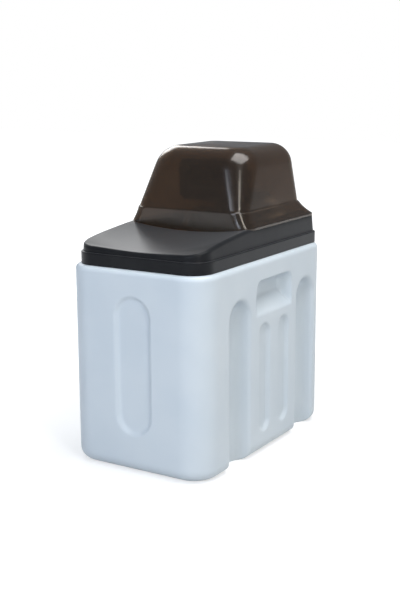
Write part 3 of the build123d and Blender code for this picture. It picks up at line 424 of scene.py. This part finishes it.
def blendMin(a, b, soft):
    h = np.maximum(soft - np.abs(a - b), 0) / soft
    return np.minimum(a, b) - h * h * soft / 4


# along and height are places on the wall; behind is how far the inner skin lies behind the outer one
def handhold(along, height, behind):
    # steep round the top and the ends, with a ramp that runs out below
    c = cabinet
    half, corner = c["holdWidth"] / 2 + behind, c["holdCorner"] + behind
    top, bottom = c["holdTop"] + behind, c["holdFoot"] - 3 * corner  # the bottom is well below the ramp
    dx = np.abs(along - c["centre"]) - (half - corner)
    dz = np.abs(height - (top + bottom) / 2) - ((top - bottom) / 2 - corner)
    inside = corner - np.hypot(np.maximum(dx, 0), np.maximum(dz, 0)) - np.minimum(np.maximum(dx, dz), 0)
    walls = steepWall(inside, c["holdDepth"], c["holdLip"], c["holdFloor"], c["holdDraft"])
    slope = c["holdDepth"] / (c["holdSill"] - c["holdFoot"])
    ramp = (height - c["holdFoot"] + 1.3 * behind) * slope  # 1.3 keeps the wall's thickness on the slope
    ramp = blendMin(ramp, np.full_like(ramp, c["holdDepth"]), c["sillBlend"])
    runOut = c["rampRunOut"]
    ramp = np.where(ramp < runOut, np.maximum(ramp + runOut, 0) ** 2 / (4 * runOut), ramp)
    return blendMin(walls, ramp, c["holdBlend"])


def sideRecess(along, height, behind):
    c = cabinet
    deepest = np.zeros_like(height)
    for side in (-1, 1):
        flute = c["centre"] + side * c["fluteSpacing"] / 2
        inside = intoSlot(along - flute, height, c["fluteWidth"] / 2 + behind,
                          -math.inf, c["fluteTop"] + behind)
        deepest = np.maximum(deepest, softWall(inside, c["fluteDepth"], c["fluteLip"], c["fluteFloor"]))
        panel = c["centre"] + side * c["panelSpacing"] / 2
        inside = intoSlot(along - panel, height, c["panelWidth"] / 2 + behind,
                          c["panelLow"] - behind, c["panelHigh"] + behind)
        deepest = np.maximum(deepest, softWall(inside, c["panelDepth"], c["panelLip"], c["panelFloor"]))
    return np.maximum(deepest, handhold(along, height, behind))


def frontRecess(along, height, behind):
    c = cabinet
    inside = intoSlot(along, height, c["frontWidth"] / 2 + behind,
                      c["frontLow"] - behind, c["frontHigh"] + behind)
    return softWall(inside, c["panelDepth"], c["panelLip"], c["panelFloor"])


def cabinetMesh():
    c = cabinet
    corner, foot, shoulder, wall = c["corner"], c["foot"], c["shoulder"], c["wall"]
    mouth, edge = c["mouth"], c["lipRound"]
    halfX, halfY, rim = nodeBox("cabinet_shell")[1]
    straightX, straightY = halfX - corner, halfY - corner
    holdEnds = [(c["centre"] + side * c["holdWidth"] / 2, *c["endFine"]) for side in (-1, 1)]
    sidePlaces = spread(-straightY, straightY, c["meshStep"], holdEnds)
    frontPlaces = spread(-straightX, straightX, c["meshStep"])
    cuts = ((frontPlaces[:-1] + straightX) / (2 * straightX), (sidePlaces[:-1] + straightY) / (2 * straightY),
            shares(c["rearCuts"]), c["cornerCuts"])
    loop = planLoop(halfX, -halfY, halfY, corner, corner, cuts)
    # a loop 1 mm further in gives each point its way out
    outward = loop - planLoop(halfX - 1, 1 - halfY, halfY - 1, corner - 1, corner - 1, cuts)
    hair = 1e-6
    onSide, onFront = np.abs(loop[:, 0]) > halfX - hair, loop[:, 1] < hair - halfY

    def row(height, inset, behind=0.0):
        z = np.full(len(loop), float(height))
        recess = np.where(onSide, sideRecess(loop[:, 1], z, behind), 0)
        recess += np.where(onFront, frontRecess(loop[:, 0], z, behind), 0)
        depth = np.where(recess > 0, recess + behind, 0)
        depth = blendMax(np.full(len(loop), float(inset)), depth, c["recessBlend"])
        return ringAt(loop - outward * depth[:, None], height)

    # up the outside, over the shoulder and the shelf round the mouth, then down the inner wall
    rows = [row(foot - foot * math.cos(a), foot - foot * math.sin(a)) for a in quarterTurn(c["footSteps"])]
    knots = [(c["holdTop"], *c["topFine"]), (c["holdFoot"], *c["footFine"])]
    rows += [row(z, 0) for z in spread(foot, rim - shoulder, c["meshStep"], knots)[1:]]
    rows += [row(rim - shoulder + shoulder * math.sin(a), shoulder - shoulder * math.cos(a))
             for a in quarterTurn(c["shoulderSteps"])[1:]]
    rows += [row(rim, (shoulder + mouth) / 2)]
    under, lipTurn = rim - wall, quarterTurn(c["lipSteps"])
    rows += [row(rim - edge + edge * math.cos(a), mouth - edge + edge * math.sin(a)) for a in lipTurn]
    rows += [row(under + edge - edge * math.sin(a), mouth - edge + edge * math.cos(a)) for a in lipTurn]
    rows += [row(under - drop, wall + inset, wall) for drop, inset in c["shelfTurn"]]
    knots = [(c["holdTop"] + wall, *c["innerFine"])]
    rows += [row(z, wall, wall) for z in spread(foot, under - c["innerGap"], c["innerStep"], knots)[::-1]]
    inner = foot - wall
    rows += [row(wall + inner - inner * math.cos(a), wall + inner - inner * math.sin(a), wall)
             for a in quarterTurn(c["innerFootSteps"])[-2::-1]]
    return skin("cabinetMoulding", rows, capFirst=True, capLast=True)


cabinetPiece = cabinetMesh()
place(cabinetPiece, "cabinet", "cabinet_plastic", finishes["polyethylene"], "cabinet_shell")
print("cabinet made", len(cabinetPiece.data.polygons))


deck = {
    "frontCorner": 48, "rearCorner": 30, "footRound": 1.2, "bandHeight": 26, "bandMargin": 3, "bandRound": 2,
    "ledge": 4.5, "ledgeTurn": ((1.2, 0), (0.3, 0.3), (0, 1.2)),  # distance before the wall, and rise
    "lean": 4.8, "leanReach": 2, "fascia": 35, "edge": 7,
    "crest": 68, "crestY": -56, "rampLead": 3, "hoodFront": -68,
    "dishRadius": 900, "dishDrop": 13.3, "dishBlend": 5,
    "openHalf": 112, "openFront": -34, "openRear": 228, "openCorner": 30, "openDraft": 1,
    "wall": 3, "innerRound": 2, "innerSag": 1.5, "innerFoot": 0.8, "lipDepth": 12, "lipGap": 1, "lipRound": 1,
    "notchHalf": 66, "notchFront": 198, "notchOver": 6,
    "cuts": (48, 90, 40, 14),  # along the front, sides and rear, and in a corner
    "footSteps": 3, "bandRows": 6, "bandSteps": 4, "wallRows": 9, "edgeSteps": 7,
    "topRows": 42, "underRows": 14, "innerRows": 7,
}


def deckHeight(x, y):
    # the crest runs down an arc to the front, and a shallow dish hollows it along the middle
    d = deck
    rim = nodeBox("cabinet_shell")[1][2]
    front = nodeBox("deck_cover")[0][1]
    reach, drop = d["crestY"] - front + d["rampLead"], d["crest"] - d["fascia"]
    radius = (reach ** 2 + drop ** 2) / (2 * drop)
    ramp = rim + d["crest"] - radius + np.sqrt(radius ** 2 - np.minimum(y - d["crestY"], 0) ** 2)
    climb = (d["crest"] - d["dishDrop"] - d["fascia"]) / (d["hoodFront"] - front)
    dish = rim + d["fascia"] + (y - front) * climb + d["dishRadius"] - np.sqrt(d["dishRadius"] ** 2 - x ** 2)
    return blendMin(ramp, dish, d["dishBlend"])


def deckMesh():
    d = deck
    edge, wall, foot, band = d["edge"], d["wall"], d["footRound"], d["bandRound"]
    low, high = nodeBox("deck_cover")
    halfX, front, rear = high[0], low[1], high[1]
    rim = low[2] + d["lipDepth"]
    bandTop = rim + d["bandHeight"]
    slope = math.tan(math.radians(d["lean"]))
    cuts = evenCuts(*d["cuts"])

    def loopAt(inset):
        return planLoop(halfX - inset, front + inset, rear - inset,
                        d["frontCorner"] - inset, d["rearCorner"] - inset, cuts)

    def openingLoop(wider):
        corner = d["openCorner"] + wider
        return planLoop(d["openHalf"] + wider, d["openFront"] - wider, d["openRear"] + wider,
                        corner, corner, cuts)

    base = loopAt(d["ledge"])
    outward = base - loopAt(d["ledge"] + 1)  # each point's way out, as on the cabinet
    wallTop = deckHeight(*loopAt(d["ledge"] + d["leanReach"] + edge).T) - edge

    def wallPlan(z, inset=0.0):
        # the leaning wall, with a height for each point
        return base - outward * (np.maximum(z - bandTop, 0) * slope + inset)[:, None]

    # up the band, over the ledge, up the leaning wall and over its edge
    rows = [ringAt(loopAt(foot - foot * math.sin(a)), rim + foot - foot * math.cos(a))
            for a in quarterTurn(d["footSteps"])]
    rows += [ringAt(loopAt(0), z)
             for z in np.linspace(rim + d["bandMargin"], bandTop - d["bandMargin"], d["bandRows"])]
    rows += [ringAt(loopAt(band - band * math.cos(a)), bandTop - band + band * math.sin(a))
             for a in quarterTurn(d["bandSteps"])]
    rows += [ringAt(loopAt(d["ledge"] - before), bandTop + rise) for before, rise in d["ledgeTurn"]]
    wallFoot = bandTop + d["ledgeTurn"][-1][1]
    for share in np.linspace(0, 1, d["wallRows"])[1:]:
        z = wallFoot + (wallTop - wallFoot) * share
        rows.append(ringAt(wallPlan(z), z))
    rows += [ringAt(wallPlan(wallTop, edge * (1 - math.cos(a))), wallTop + edge * math.sin(a))
             for a in quarterTurn(d["edgeSteps"])[1:]]
    # the top runs in to the opening under the hood, and back out as the underside
    outerTop, opening = rows[-1][:, :2], openingLoop(0)
    for share in np.linspace(0, 1, d["topRows"])[1:]:
        plan = outerTop + (opening - outerTop) * share
        rows.append(ringAt(plan, deckHeight(*plan.T)))
    rows.append(ringAt(opening, deckHeight(*opening.T) - wall))
    innerStart, innerEnd = openingLoop(d["openDraft"]), wallPlan(wallTop, wall + d["innerRound"])
    for share in np.linspace(0, 1, d["underRows"])[1:]:
        plan = innerStart + (innerEnd - innerStart) * share
        rows.append(ringAt(plan, deckHeight(*plan.T) - wall - share * d["innerSag"]))
    # down inside the wall, and round the lip that stands in the cabinet's mouth
    for share in np.linspace(0, 1, d["innerRows"])[1:]:
        z = wallTop - wall + (rim + wall + d["innerFoot"] - wallTop + wall) * share
        rows.append(ringAt(wallPlan(z, wall), z))
    mouth = cabinet["mouth"] + d["lipGap"]
    lipX, lipY = [v - mouth for v in nodeBox("cabinet_shell")[1][:2]]
    lipFoot, lipRound = rim - d["lipDepth"], d["lipRound"]
    for inset, z in ((wall, rim + wall), (wall, lipFoot + lipRound), (wall - lipRound, lipFoot),
                     (lipRound, lipFoot), (0, lipFoot + lipRound), (0, rim)):
        corner = cabinet["corner"] - mouth - inset
        rows.append(ringAt(planLoop(lipX - inset, inset - lipY, lipY - inset, corner, corner, cuts), z))
    piece = skin("deckMoulding", rows, wrapped=True)
    half, over = d["notchHalf"], d["notchOver"]
    return cutAway(piece, (-half, d["notchFront"], low[2] - over), (half, rear + over, high[2] + over))


deckPiece = deckMesh()
place(deckPiece, "deck", "deck_plastic", finishes["blackAbs"], "deck_cover")
print("deck made", len(deckPiece.data.polygons))


hood = {
    "wall": 2.5, "front": deck["hoodFront"], "skirtHalf": 153.19, "skirtRear": 258.19,
    "skirtLow": 491, "skirtTop": 496,
    "flareBow": 0.1, "shoulder": 528, "ledge": 1.5, "ledgeStart": 1.4, "wallStart": 0.5,
    "ledgeTurn": ((0.05, 0.5), (0.4, 1.0), (1.0, 1.2)),  # inset, and rise from where the ledge starts
    "baseHalf": 137, "baseRear": 219,
    "measured": 621, "topHalf": 124.5, "topFront": -35, "topRear": 219,  # a height, and the plan there
    "corners": ((491, 32, 32), (528, 34, 40), (621, 60, 52)),  # height, front and rear corner
    "crown": 2.5, "round": 41, "crownMiddle": (70, 120),
    # the foot follows the deck this far out and back, and then drops to the skirt's low edge
    "seatGap": 0.4, "seatHalf": 144, "seatFadeX": 6, "seatRear": 215, "seatFadeY": 20,
    "notchHalf": deck["notchHalf"], "notchFront": 190, "notchTop": 521, "notchOver": 8,
    "cuts": (44, 44, 32, 20),  # as on the deck
    "footRows": 6, "skirtRows": 12, "wallRows": 26, "roundSteps": 14, "crownRows": 16,
}


def hoodPlan(z, inset, cuts):
    # the walls' plan at a height: a flared foot, a small ledge, then walls that lean in
    h = hood
    if z <= h["skirtTop"]:
        half, front, rear = h["skirtHalf"], h["front"], h["skirtRear"]
    elif z <= h["shoulder"]:
        t = (z - h["skirtTop"]) / (h["shoulder"] - h["skirtTop"])
        t += h["flareBow"] * math.sin(math.pi * t)
        half = h["skirtHalf"] + (h["baseHalf"] + h["ledge"] - h["skirtHalf"]) * t
        front = h["front"]
        rear = h["skirtRear"] + (h["baseRear"] + h["ledge"] - h["skirtRear"]) * t
    else:
        t = (z - h["shoulder"]) / (h["measured"] - h["shoulder"])
        half = h["baseHalf"] + (h["topHalf"] - h["baseHalf"]) * t
        front = h["front"] + h["ledge"] + (h["topFront"] - h["front"] - h["ledge"]) * t
        rear = h["baseRear"] + (h["topRear"] - h["baseRear"]) * t
    levels, frontCorners, rearCorners = zip(*h["corners"])
    frontCorner, rearCorner = np.interp(z, levels, frontCorners), np.interp(z, levels, rearCorners)
    return planLoop(half - inset, front + inset, rear - inset, frontCorner - inset, rearCorner - inset, cuts)


def hoodMesh():
    h = hood
    high = nodeBox("hood_shell")[1][2]
    cuts = evenCuts(*h["cuts"])

    def surface(inset, top):
        # rows from the foot, which follows the deck where that carries it, to the middle of the crown
        foot = hoodPlan(h["skirtLow"], inset, cuts)
        seat = deckHeight(*foot.T) + h["seatGap"]
        out = np.clip((np.abs(foot[:, 0]) - h["seatHalf"]) / h["seatFadeX"], 0, 1)
        out = np.clip(out + np.clip((foot[:, 1] - h["seatRear"]) / h["seatFadeY"], 0, 1), 0, 1)
        lowest = seat + (h["skirtLow"] - seat) * out * out * (3 - 2 * out)
        rows = [ringAt(foot, lowest + (h["skirtTop"] - lowest) * share)
                for share in np.linspace(0, 1, h["footRows"])[:-1]]
        ledge = h["shoulder"] - h["ledgeStart"]
        rows += [ringAt(hoodPlan(z, inset, cuts), z)
                 for z in np.linspace(h["skirtTop"], ledge, h["skirtRows"])]
        rows += [ringAt(hoodPlan(h["shoulder"], inset + more, cuts), ledge + rise)
                 for more, rise in h["ledgeTurn"]]
        start = top - h["crown"] - h["round"]
        rows += [ringAt(hoodPlan(z, inset, cuts), z)
                 for z in np.linspace(h["shoulder"] + h["wallStart"], start, h["wallRows"])]
        for a in quarterTurn(h["roundSteps"])[1:]:
            z = start + h["round"] * math.sin(a)
            rows.append(ringAt(hoodPlan(z, inset + h["round"] * (1 - math.cos(a)), cuts), z))
        rim = rows[-1][:, :2]
        middle = np.column_stack([np.zeros(len(rim)), np.clip(rim[:, 1], *h["crownMiddle"])])
        for share in np.linspace(0, 1, h["crownRows"])[1:-1]:
            plan = rim + (middle - rim) * share
            rows.append(ringAt(plan, top - h["crown"] + h["crown"] * (1 - (1 - share) ** 2)))
        return rows

    rows = surface(h["wall"], high - h["wall"])[::-1] + surface(0, high)
    piece = skin("hoodMoulding", rows, capFirst=True, capLast=True)
    half, over = h["notchHalf"], h["notchOver"]
    return cutAway(piece, (-half, h["notchFront"], h["skirtLow"] - over),
                   (half, h["skirtRear"] + over, h["notchTop"]))


hoodPiece = hoodMesh()
place(hoodPiece, "hood", "smoked_plastic", finishes["smoked"], "hood_shell")
print("hood made", len(hoodPiece.data.polygons))


# the machine parts by finish, each with its record slot
machineParts = {
    "wound": ("vessel_wrap", ["pressure_vessel"]),
    "black": ("black_plastic", [
        "vessel_boot", "valve_body", "end_plug", "gear_bracket", "control_cover", "control_housing",
        "power_jack", "union_nuts", "injector_cap", "overflow_elbow", "overflow_nut"]),
    "grey": ("grey_plastic", [
        "riser_tube", "bottom_strainer", "top_strainer", "seal_stack", "display_module", "turbine_cage",
        "port_tails", "drain_elbow", "float_rod"]),
    "white": ("white_plastic", [
        "piston", "drive_gear", "idler_gear", "motor_pinion", "meter_turbine", "injector_nozzle",
        "brine_elbow", "brine_well", "brine_well_cap", "pickup_tube", "safety_valve", "air_check",
        "brine_float", "salt_grid"]),
    "rubber": ("seal_rubber", ["tank_seal"]),
    "beads": ("resin_beads", ["resin_bed"]),
    "board": ("board_green", ["circuit_board"]),
    "glass": ("display_glass", ["display_window"]),
    "steel": ("motor_steel", ["drive_motor"]),
    "tube": ("tube_plastic", ["brine_line"]),
    "keys": ("key_plastic", ["menu_key", "down_key", "up_key", "regenerate_key"]),
}
usualEdge = 0.5  # width of a moulded edge's rounding
softEdges = {
    "pressure_vessel": 0, "brine_line": 0, "resin_bed": 0, "tank_seal": 0.3, "vessel_boot": 0.8,
    "valve_body": 1.2, "control_cover": 2.0, "control_housing": 1.6, "gear_bracket": 0.8,
    "circuit_board": 0.2, "drive_motor": 0.8, "drive_gear": 0.25, "idler_gear": 0.25, "motor_pinion": 0.15,
    "meter_turbine": 0.2, "brine_well": 0.6,
}
softening = {"weld": 0.002, "flatAngle": 0.6, "edgeAngle": 48, "segments": 2, "sharpAngle": 36}


def softened(name, width):
    # a merged copy of a solid: round forms shade as round, and moulded edges catch the light
    s = softening
    mesh = frame["nodes"][name].data.copy()
    mesh.name = name + "_moulding"
    work = bmesh.new()
    work.from_mesh(mesh)
    bmesh.ops.remove_doubles(work, verts=work.verts, dist=s["weld"] * mm)
    flat = math.radians(s["flatAngle"])
    bmesh.ops.dissolve_limit(work, angle_limit=flat, verts=work.verts, edges=work.edges)
    work.to_mesh(mesh)
    work.free()
    piece = addObject(mesh.name, mesh)
    if width:
        bevel = piece.modifiers.new("softEdge", "BEVEL")
        bevel.limit_method, bevel.angle_limit = "ANGLE", math.radians(s["edgeAngle"])
        bevel.width, bevel.segments, bevel.use_clamp_overlap = width * mm, s["segments"], True
        plainMesh(piece)
    piece.data.shade_smooth()
    piece.data.set_sharp_from_angle(angle=math.radians(s["sharpAngle"]))
    return piece


saltGrid = {
    "pitch": 14, "hole": 3.2, "sides": 12, "columns": 15, "rows": 14,
    "frontMargin": 26,  # from the grid's front edge to the first row
    "clear": 44,  # no hole this near the middle of the brine well
    "through": 4,  # the drills' length in thicknesses of the grid
}


def gridHoles():
    # drain holes in rows over the salt grid, none near the brine well
    g = saltGrid
    tree, given = newTree("drainHoles", {
        "Columns": ("NodeSocketInt", 10), "Rows": ("NodeSocketInt", 10), "Pitch": ("NodeSocketFloat", 0.01),
        "Hole": ("NodeSocketFloat", 0.003), "Depth": ("NodeSocketFloat", 0.01),
        "Clear": ("NodeSocketFloat", 0.04), "Centre": ("NodeSocketVector", (0, 0, 0)),
        "Well": ("NodeSocketVector", (0, 0, 0)),
    })
    width, length = [addNode(tree, "ShaderNodeMath", {"operation": "MULTIPLY"}, {
        0: given[count], 1: given["Pitch"]}).outputs[0] for count in ("Columns", "Rows")]
    field = addNode(tree, "GeometryNodeMeshGrid", links={
        "Size X": width, "Size Y": length, "Vertices X": given["Columns"], "Vertices Y": given["Rows"]})
    moved = addNode(tree, "GeometryNodeTransform", links={
        "Geometry": field.outputs["Mesh"], "Translation": given["Centre"]})
    position = addNode(tree, "GeometryNodeInputPosition").outputs["Position"]
    away = addNode(tree, "ShaderNodeVectorMath", {"operation": "DISTANCE"}, {0: position, 1: given["Well"]})
    near = addNode(tree, "ShaderNodeMath", {"operation": "LESS_THAN"}, {
        0: away.outputs["Value"], 1: given["Clear"]})
    kept = addNode(tree, "GeometryNodeDeleteGeometry", links={
        "Geometry": moved.outputs["Geometry"], "Selection": near.outputs[0]})
    hole = addNode(tree, "GeometryNodeMeshCylinder", {"Vertices": g["sides"]}, {
        "Radius": given["Hole"], "Depth": given["Depth"]})
    many = addNode(tree, "GeometryNodeInstanceOnPoints", links={
        "Points": kept.outputs["Geometry"], "Instance": hole.outputs["Mesh"]})
    endTree(tree, many.outputs["Instances"], finishes["white"])
    low, high = nodeBox("salt_grid")
    wellLow, wellHigh = nodeBox("brine_well")
    middle = (low[2] + high[2]) / 2 * mm
    centreY = low[1] + g["frontMargin"] + g["rows"] * g["pitch"] / 2
    return runTree("drainHoles", tree, {
        "Columns": g["columns"], "Rows": g["rows"], "Pitch": g["pitch"] * mm, "Clear": g["clear"] * mm,
        "Hole": g["hole"] * mm, "Depth": g["through"] * (high[2] - low[2]) * mm,
        "Centre": (0.0, centreY * mm, middle),
        "Well": ((wellLow[0] + wellHigh[0]) / 2 * mm, (wellLow[1] + wellHigh[1]) / 2 * mm, middle),
    })


tailThread = {"turns": 7.5, "pitch": 2.3, "ridge": 1.2, "sink": 0.4, "endGap": 1.4, "turnSteps": 40}


def threadRadius():
    # half the height of the tails' rear end, read from the solid's own corners
    rear = nodeBox("port_tails")[1][1] * mm
    nearly = rear - 0.1 * mm
    heights = [v.co.z for v in frame["nodes"]["port_tails"].data.vertices if v.co.y > nearly]
    return (max(heights) - min(heights)) / 2 / mm


def tailThreads():
    # a helical pipe thread wound round the end of each tail
    h = tailThread
    tree, given = newTree("pipeThread", {
        "Turns": ("NodeSocketFloat", 7.0), "Length": ("NodeSocketFloat", 0.016),
        "Radius": ("NodeSocketFloat", 0.0166), "Ridge": ("NodeSocketFloat", 0.001),
        "First": ("NodeSocketVector", (0, 0, 0)), "Apart": ("NodeSocketVector", (0.05, 0, 0)),
    })
    helix = addNode(tree, "GeometryNodeCurveSpiral", {"Resolution": h["turnSteps"]}, {
        "Rotations": given["Turns"], "Start Radius": given["Radius"], "End Radius": given["Radius"],
        "Height": given["Length"]})
    ridge = addNode(tree, "GeometryNodeCurvePrimitiveCircle", {"Resolution": 4}, {
        "Radius": given["Ridge"]})
    wound = addNode(tree, "GeometryNodeCurveToMesh", {"Fill Caps": True}, {
        "Curve": helix.outputs["Curve"], "Profile Curve": ridge.outputs["Curve"]})
    laid = addNode(tree, "GeometryNodeTransform", {"Rotation": (math.pi / 2, 0, 0)}, {
        "Geometry": wound.outputs["Mesh"]})
    ends = addNode(tree, "GeometryNodeMeshLine", {"Count": 2}, {
        "Start Location": given["First"], "Offset": given["Apart"]})
    both = addNode(tree, "GeometryNodeInstanceOnPoints", links={
        "Points": ends.outputs["Mesh"], "Instance": laid.outputs["Geometry"]})
    endTree(tree, both.outputs["Instances"], finishes["grey"])
    low, high = nodeBox("port_tails")
    flange, height = (high[2] - low[2]) / 2, (high[2] + low[2]) / 2
    return runTree("tailThreads", tree, {
        "Turns": h["turns"], "Length": h["turns"] * h["pitch"] * mm, "Ridge": h["ridge"] * mm,
        "Radius": (threadRadius() - h["sink"]) * mm,
        "First": ((low[0] + flange) * mm, (high[1] - h["endGap"]) * mm, height * mm),
        "Apart": ((high[0] - low[0] - 2 * flange) * mm, 0.0, 0.0),
    })


bodies = frame["record"]["behaviour"]["bodies"]
nodeBodies = {name: body for body, members in bodies.items() for name in members}
for finish, (slotName, names) in machineParts.items():
    for name in names:
        piece = softened(name, softEdges.get(name, usualEdge))
        if name == "salt_grid":
            carve(piece, gridHoles())
        place(piece, nodeBodies[name], slotName, finishes[finish], name)
place(tailThreads(), "cabinet", "grey_plastic", finishes["grey"])
print("machine parts made")


# the studio, in metres
paper = {
    "reach": 9.0, "colour": "#BFC0C1", "glowNear": 0.56, "glowFar": 1.0, "fadeStart": 0.45, "fadeEnd": 1.5,
}
backdrop = {"air": "#E4EDF8", "airStrength": 0.27, "mirrorFull": -0.2, "mirrorNone": 0.06}
lamps = {
    # where each stands, the height it points at, its size, its power in watts and its colour
    "stripLamp": ((3.0, -1.9, 2.1), 0.4, (0.6, 2.4), 46, "#FFFAF2"),
    "frontLamp": ((0.3, -3.4, 2.0), 0.35, (1.9, 1.9), 59, "#E4EEFF"),
    "topLamp": ((0.8, 0.1, 3.0), 0.4, (1.8, 1.8), 64, "#FFFFFF"),
    "rearLamp": ((-2.6, 2.3, 2.2), 0.3, (1.6, 1.6), 34, "#FFFFFF"),
}
photoCamera = {
    "eye": (1.23126, -2.00303, 0.82945), "azimuth": 32.08, "elevation": 12.80, "roll": -0.35,
    "focal": 1077.5, "centreX": 193.7, "centreY": 310.0, "imageWidth": 400, "imageHeight": 600,  # pixels
    "sensor": 36, "clipEnd": 60,
}


def makeLamp(name, stand, aim, size, watts, colour):
    # an area lamp that points at the object's middle line
    lamp = bpy.data.lights.new(name, "AREA")
    lamp.shape, lamp.energy = "RECTANGLE", watts
    lamp.size, lamp.size_y = size
    lamp.color = hexColour(colour)[:3]
    holder = addObject(name, lamp)
    holder.location = stand
    holder.rotation_euler = (Vector((0, 0, aim)) - Vector(stand)).to_track_quat("-Z", "Y").to_euler()


def makeFloor():
    # pale paper that keeps the shadow near the object and fades into the white backdrop further out
    p = paper
    mesh = bpy.data.meshes.new("floor")
    corners = [(x * p["reach"], y * p["reach"], 0) for x, y in ((-1, -1), (1, -1), (1, 1), (-1, 1))]
    mesh.from_pydata(corners, [], [(0, 1, 2, 3)])
    material, tree, surface, where = newMaterial("palePaperFloor", {
        "Roughness": 0.9, "Base Color": hexColour(p["colour"]), "Emission Color": (1, 1, 1, 1)})
    reach = addNode(tree, "ShaderNodeVectorMath", {"operation": "LENGTH"}, {"Vector": where})
    fade = addNode(tree, "ShaderNodeMapRange", {
        "From Min": p["fadeStart"], "From Max": p["fadeEnd"], "To Min": p["glowNear"], "To Max": p["glowFar"],
    }, {"Value": reach.outputs["Value"]})
    # it glows only where the eye, a reflection or a look through the hood meets it
    path = addNode(tree, "ShaderNodeLightPath").outputs
    seen = path["Is Camera Ray"]
    for kind in ("Is Glossy Ray", "Is Transmission Ray"):
        seen = addNode(tree, "ShaderNodeMath", {"operation": "MAXIMUM"}, {0: seen, 1: path[kind]}).outputs[0]
    glow = addNode(tree, "ShaderNodeMath", {"operation": "MULTIPLY"}, {0: fade.outputs["Result"], 1: seen})
    tree.links.new(glow.outputs[0], surface.inputs["Emission Strength"])
    mesh.materials.append(material)
    addObject("floor", mesh)


def makeWorld():
    # dim cool air lights the object, and what looks straight at it sees white
    b = backdrop
    world = bpy.data.worlds.new("studioAir")
    world.use_nodes = True
    tree = world.node_tree
    tree.nodes.clear()
    air = addNode(tree, "ShaderNodeBackground", {
        "Color": hexColour(b["air"]), "Strength": b["airStrength"]})
    white = addNode(tree, "ShaderNodeBackground", {"Color": (1, 1, 1, 1), "Strength": 1.0})
    path = addNode(tree, "ShaderNodeLightPath").outputs
    # reflections meet the white backdrop low down and the dimmer room above it
    aim = addNode(tree, "ShaderNodeSeparateXYZ", links={
        "Vector": addNode(tree, "ShaderNodeTexCoord").outputs["Generated"]})
    low = addNode(tree, "ShaderNodeMapRange", {
        "From Min": b["mirrorFull"], "From Max": b["mirrorNone"], "To Min": 1.0, "To Max": 0.0,
    }, {"Value": aim.outputs["Z"]})
    seen = addNode(tree, "ShaderNodeMath", {"operation": "MULTIPLY"}, {
        0: low.outputs["Result"], 1: path["Is Glossy Ray"]}).outputs[0]
    for kind in ("Is Camera Ray", "Is Transmission Ray"):
        seen = addNode(tree, "ShaderNodeMath", {"operation": "MAXIMUM"}, {0: seen, 1: path[kind]}).outputs[0]
    mix = addNode(tree, "ShaderNodeMixShader", links={"Fac": seen, 1: air.outputs[0], 2: white.outputs[0]})
    addNode(tree, "ShaderNodeOutputWorld", links={"Surface": mix.outputs[0]})
    bpy.context.scene.world = world


def makeCamera():
    # the photograph's viewing angle and framing
    p = photoCamera
    camera = bpy.data.cameras.new("photoCamera")
    az, el = math.radians(p["azimuth"]), math.radians(p["elevation"])
    back = Vector((math.sin(az) * math.cos(el), -math.cos(az) * math.cos(el), math.sin(el)))
    right = Vector((math.cos(az), math.sin(az), 0))
    turn = Matrix.Rotation(math.radians(p["roll"]), 3, back)
    axes = Matrix((turn @ right, turn @ back.cross(right), back)).transposed()
    longSide = max(p["imageWidth"], p["imageHeight"])
    camera.sensor_fit, camera.sensor_width = "AUTO", p["sensor"]
    camera.lens = p["focal"] / longSide * p["sensor"]
    camera.shift_x = (p["imageWidth"] / 2 - p["centreX"]) / longSide
    camera.shift_y = (p["centreY"] - p["imageHeight"] / 2) / longSide
    camera.clip_end = p["clipEnd"]
    holder = addObject("photoCamera", camera)
    holder.matrix_world = Matrix.Translation(Vector(p["eye"])) @ axes.to_4x4()
    bpy.context.scene.camera = holder


makeFloor()
makeWorld()
for name, settings in lamps.items():
    makeLamp(name, *settings)
makeCamera()
bpy.context.scene.view_settings.view_transform = "Standard"
print("studio set")
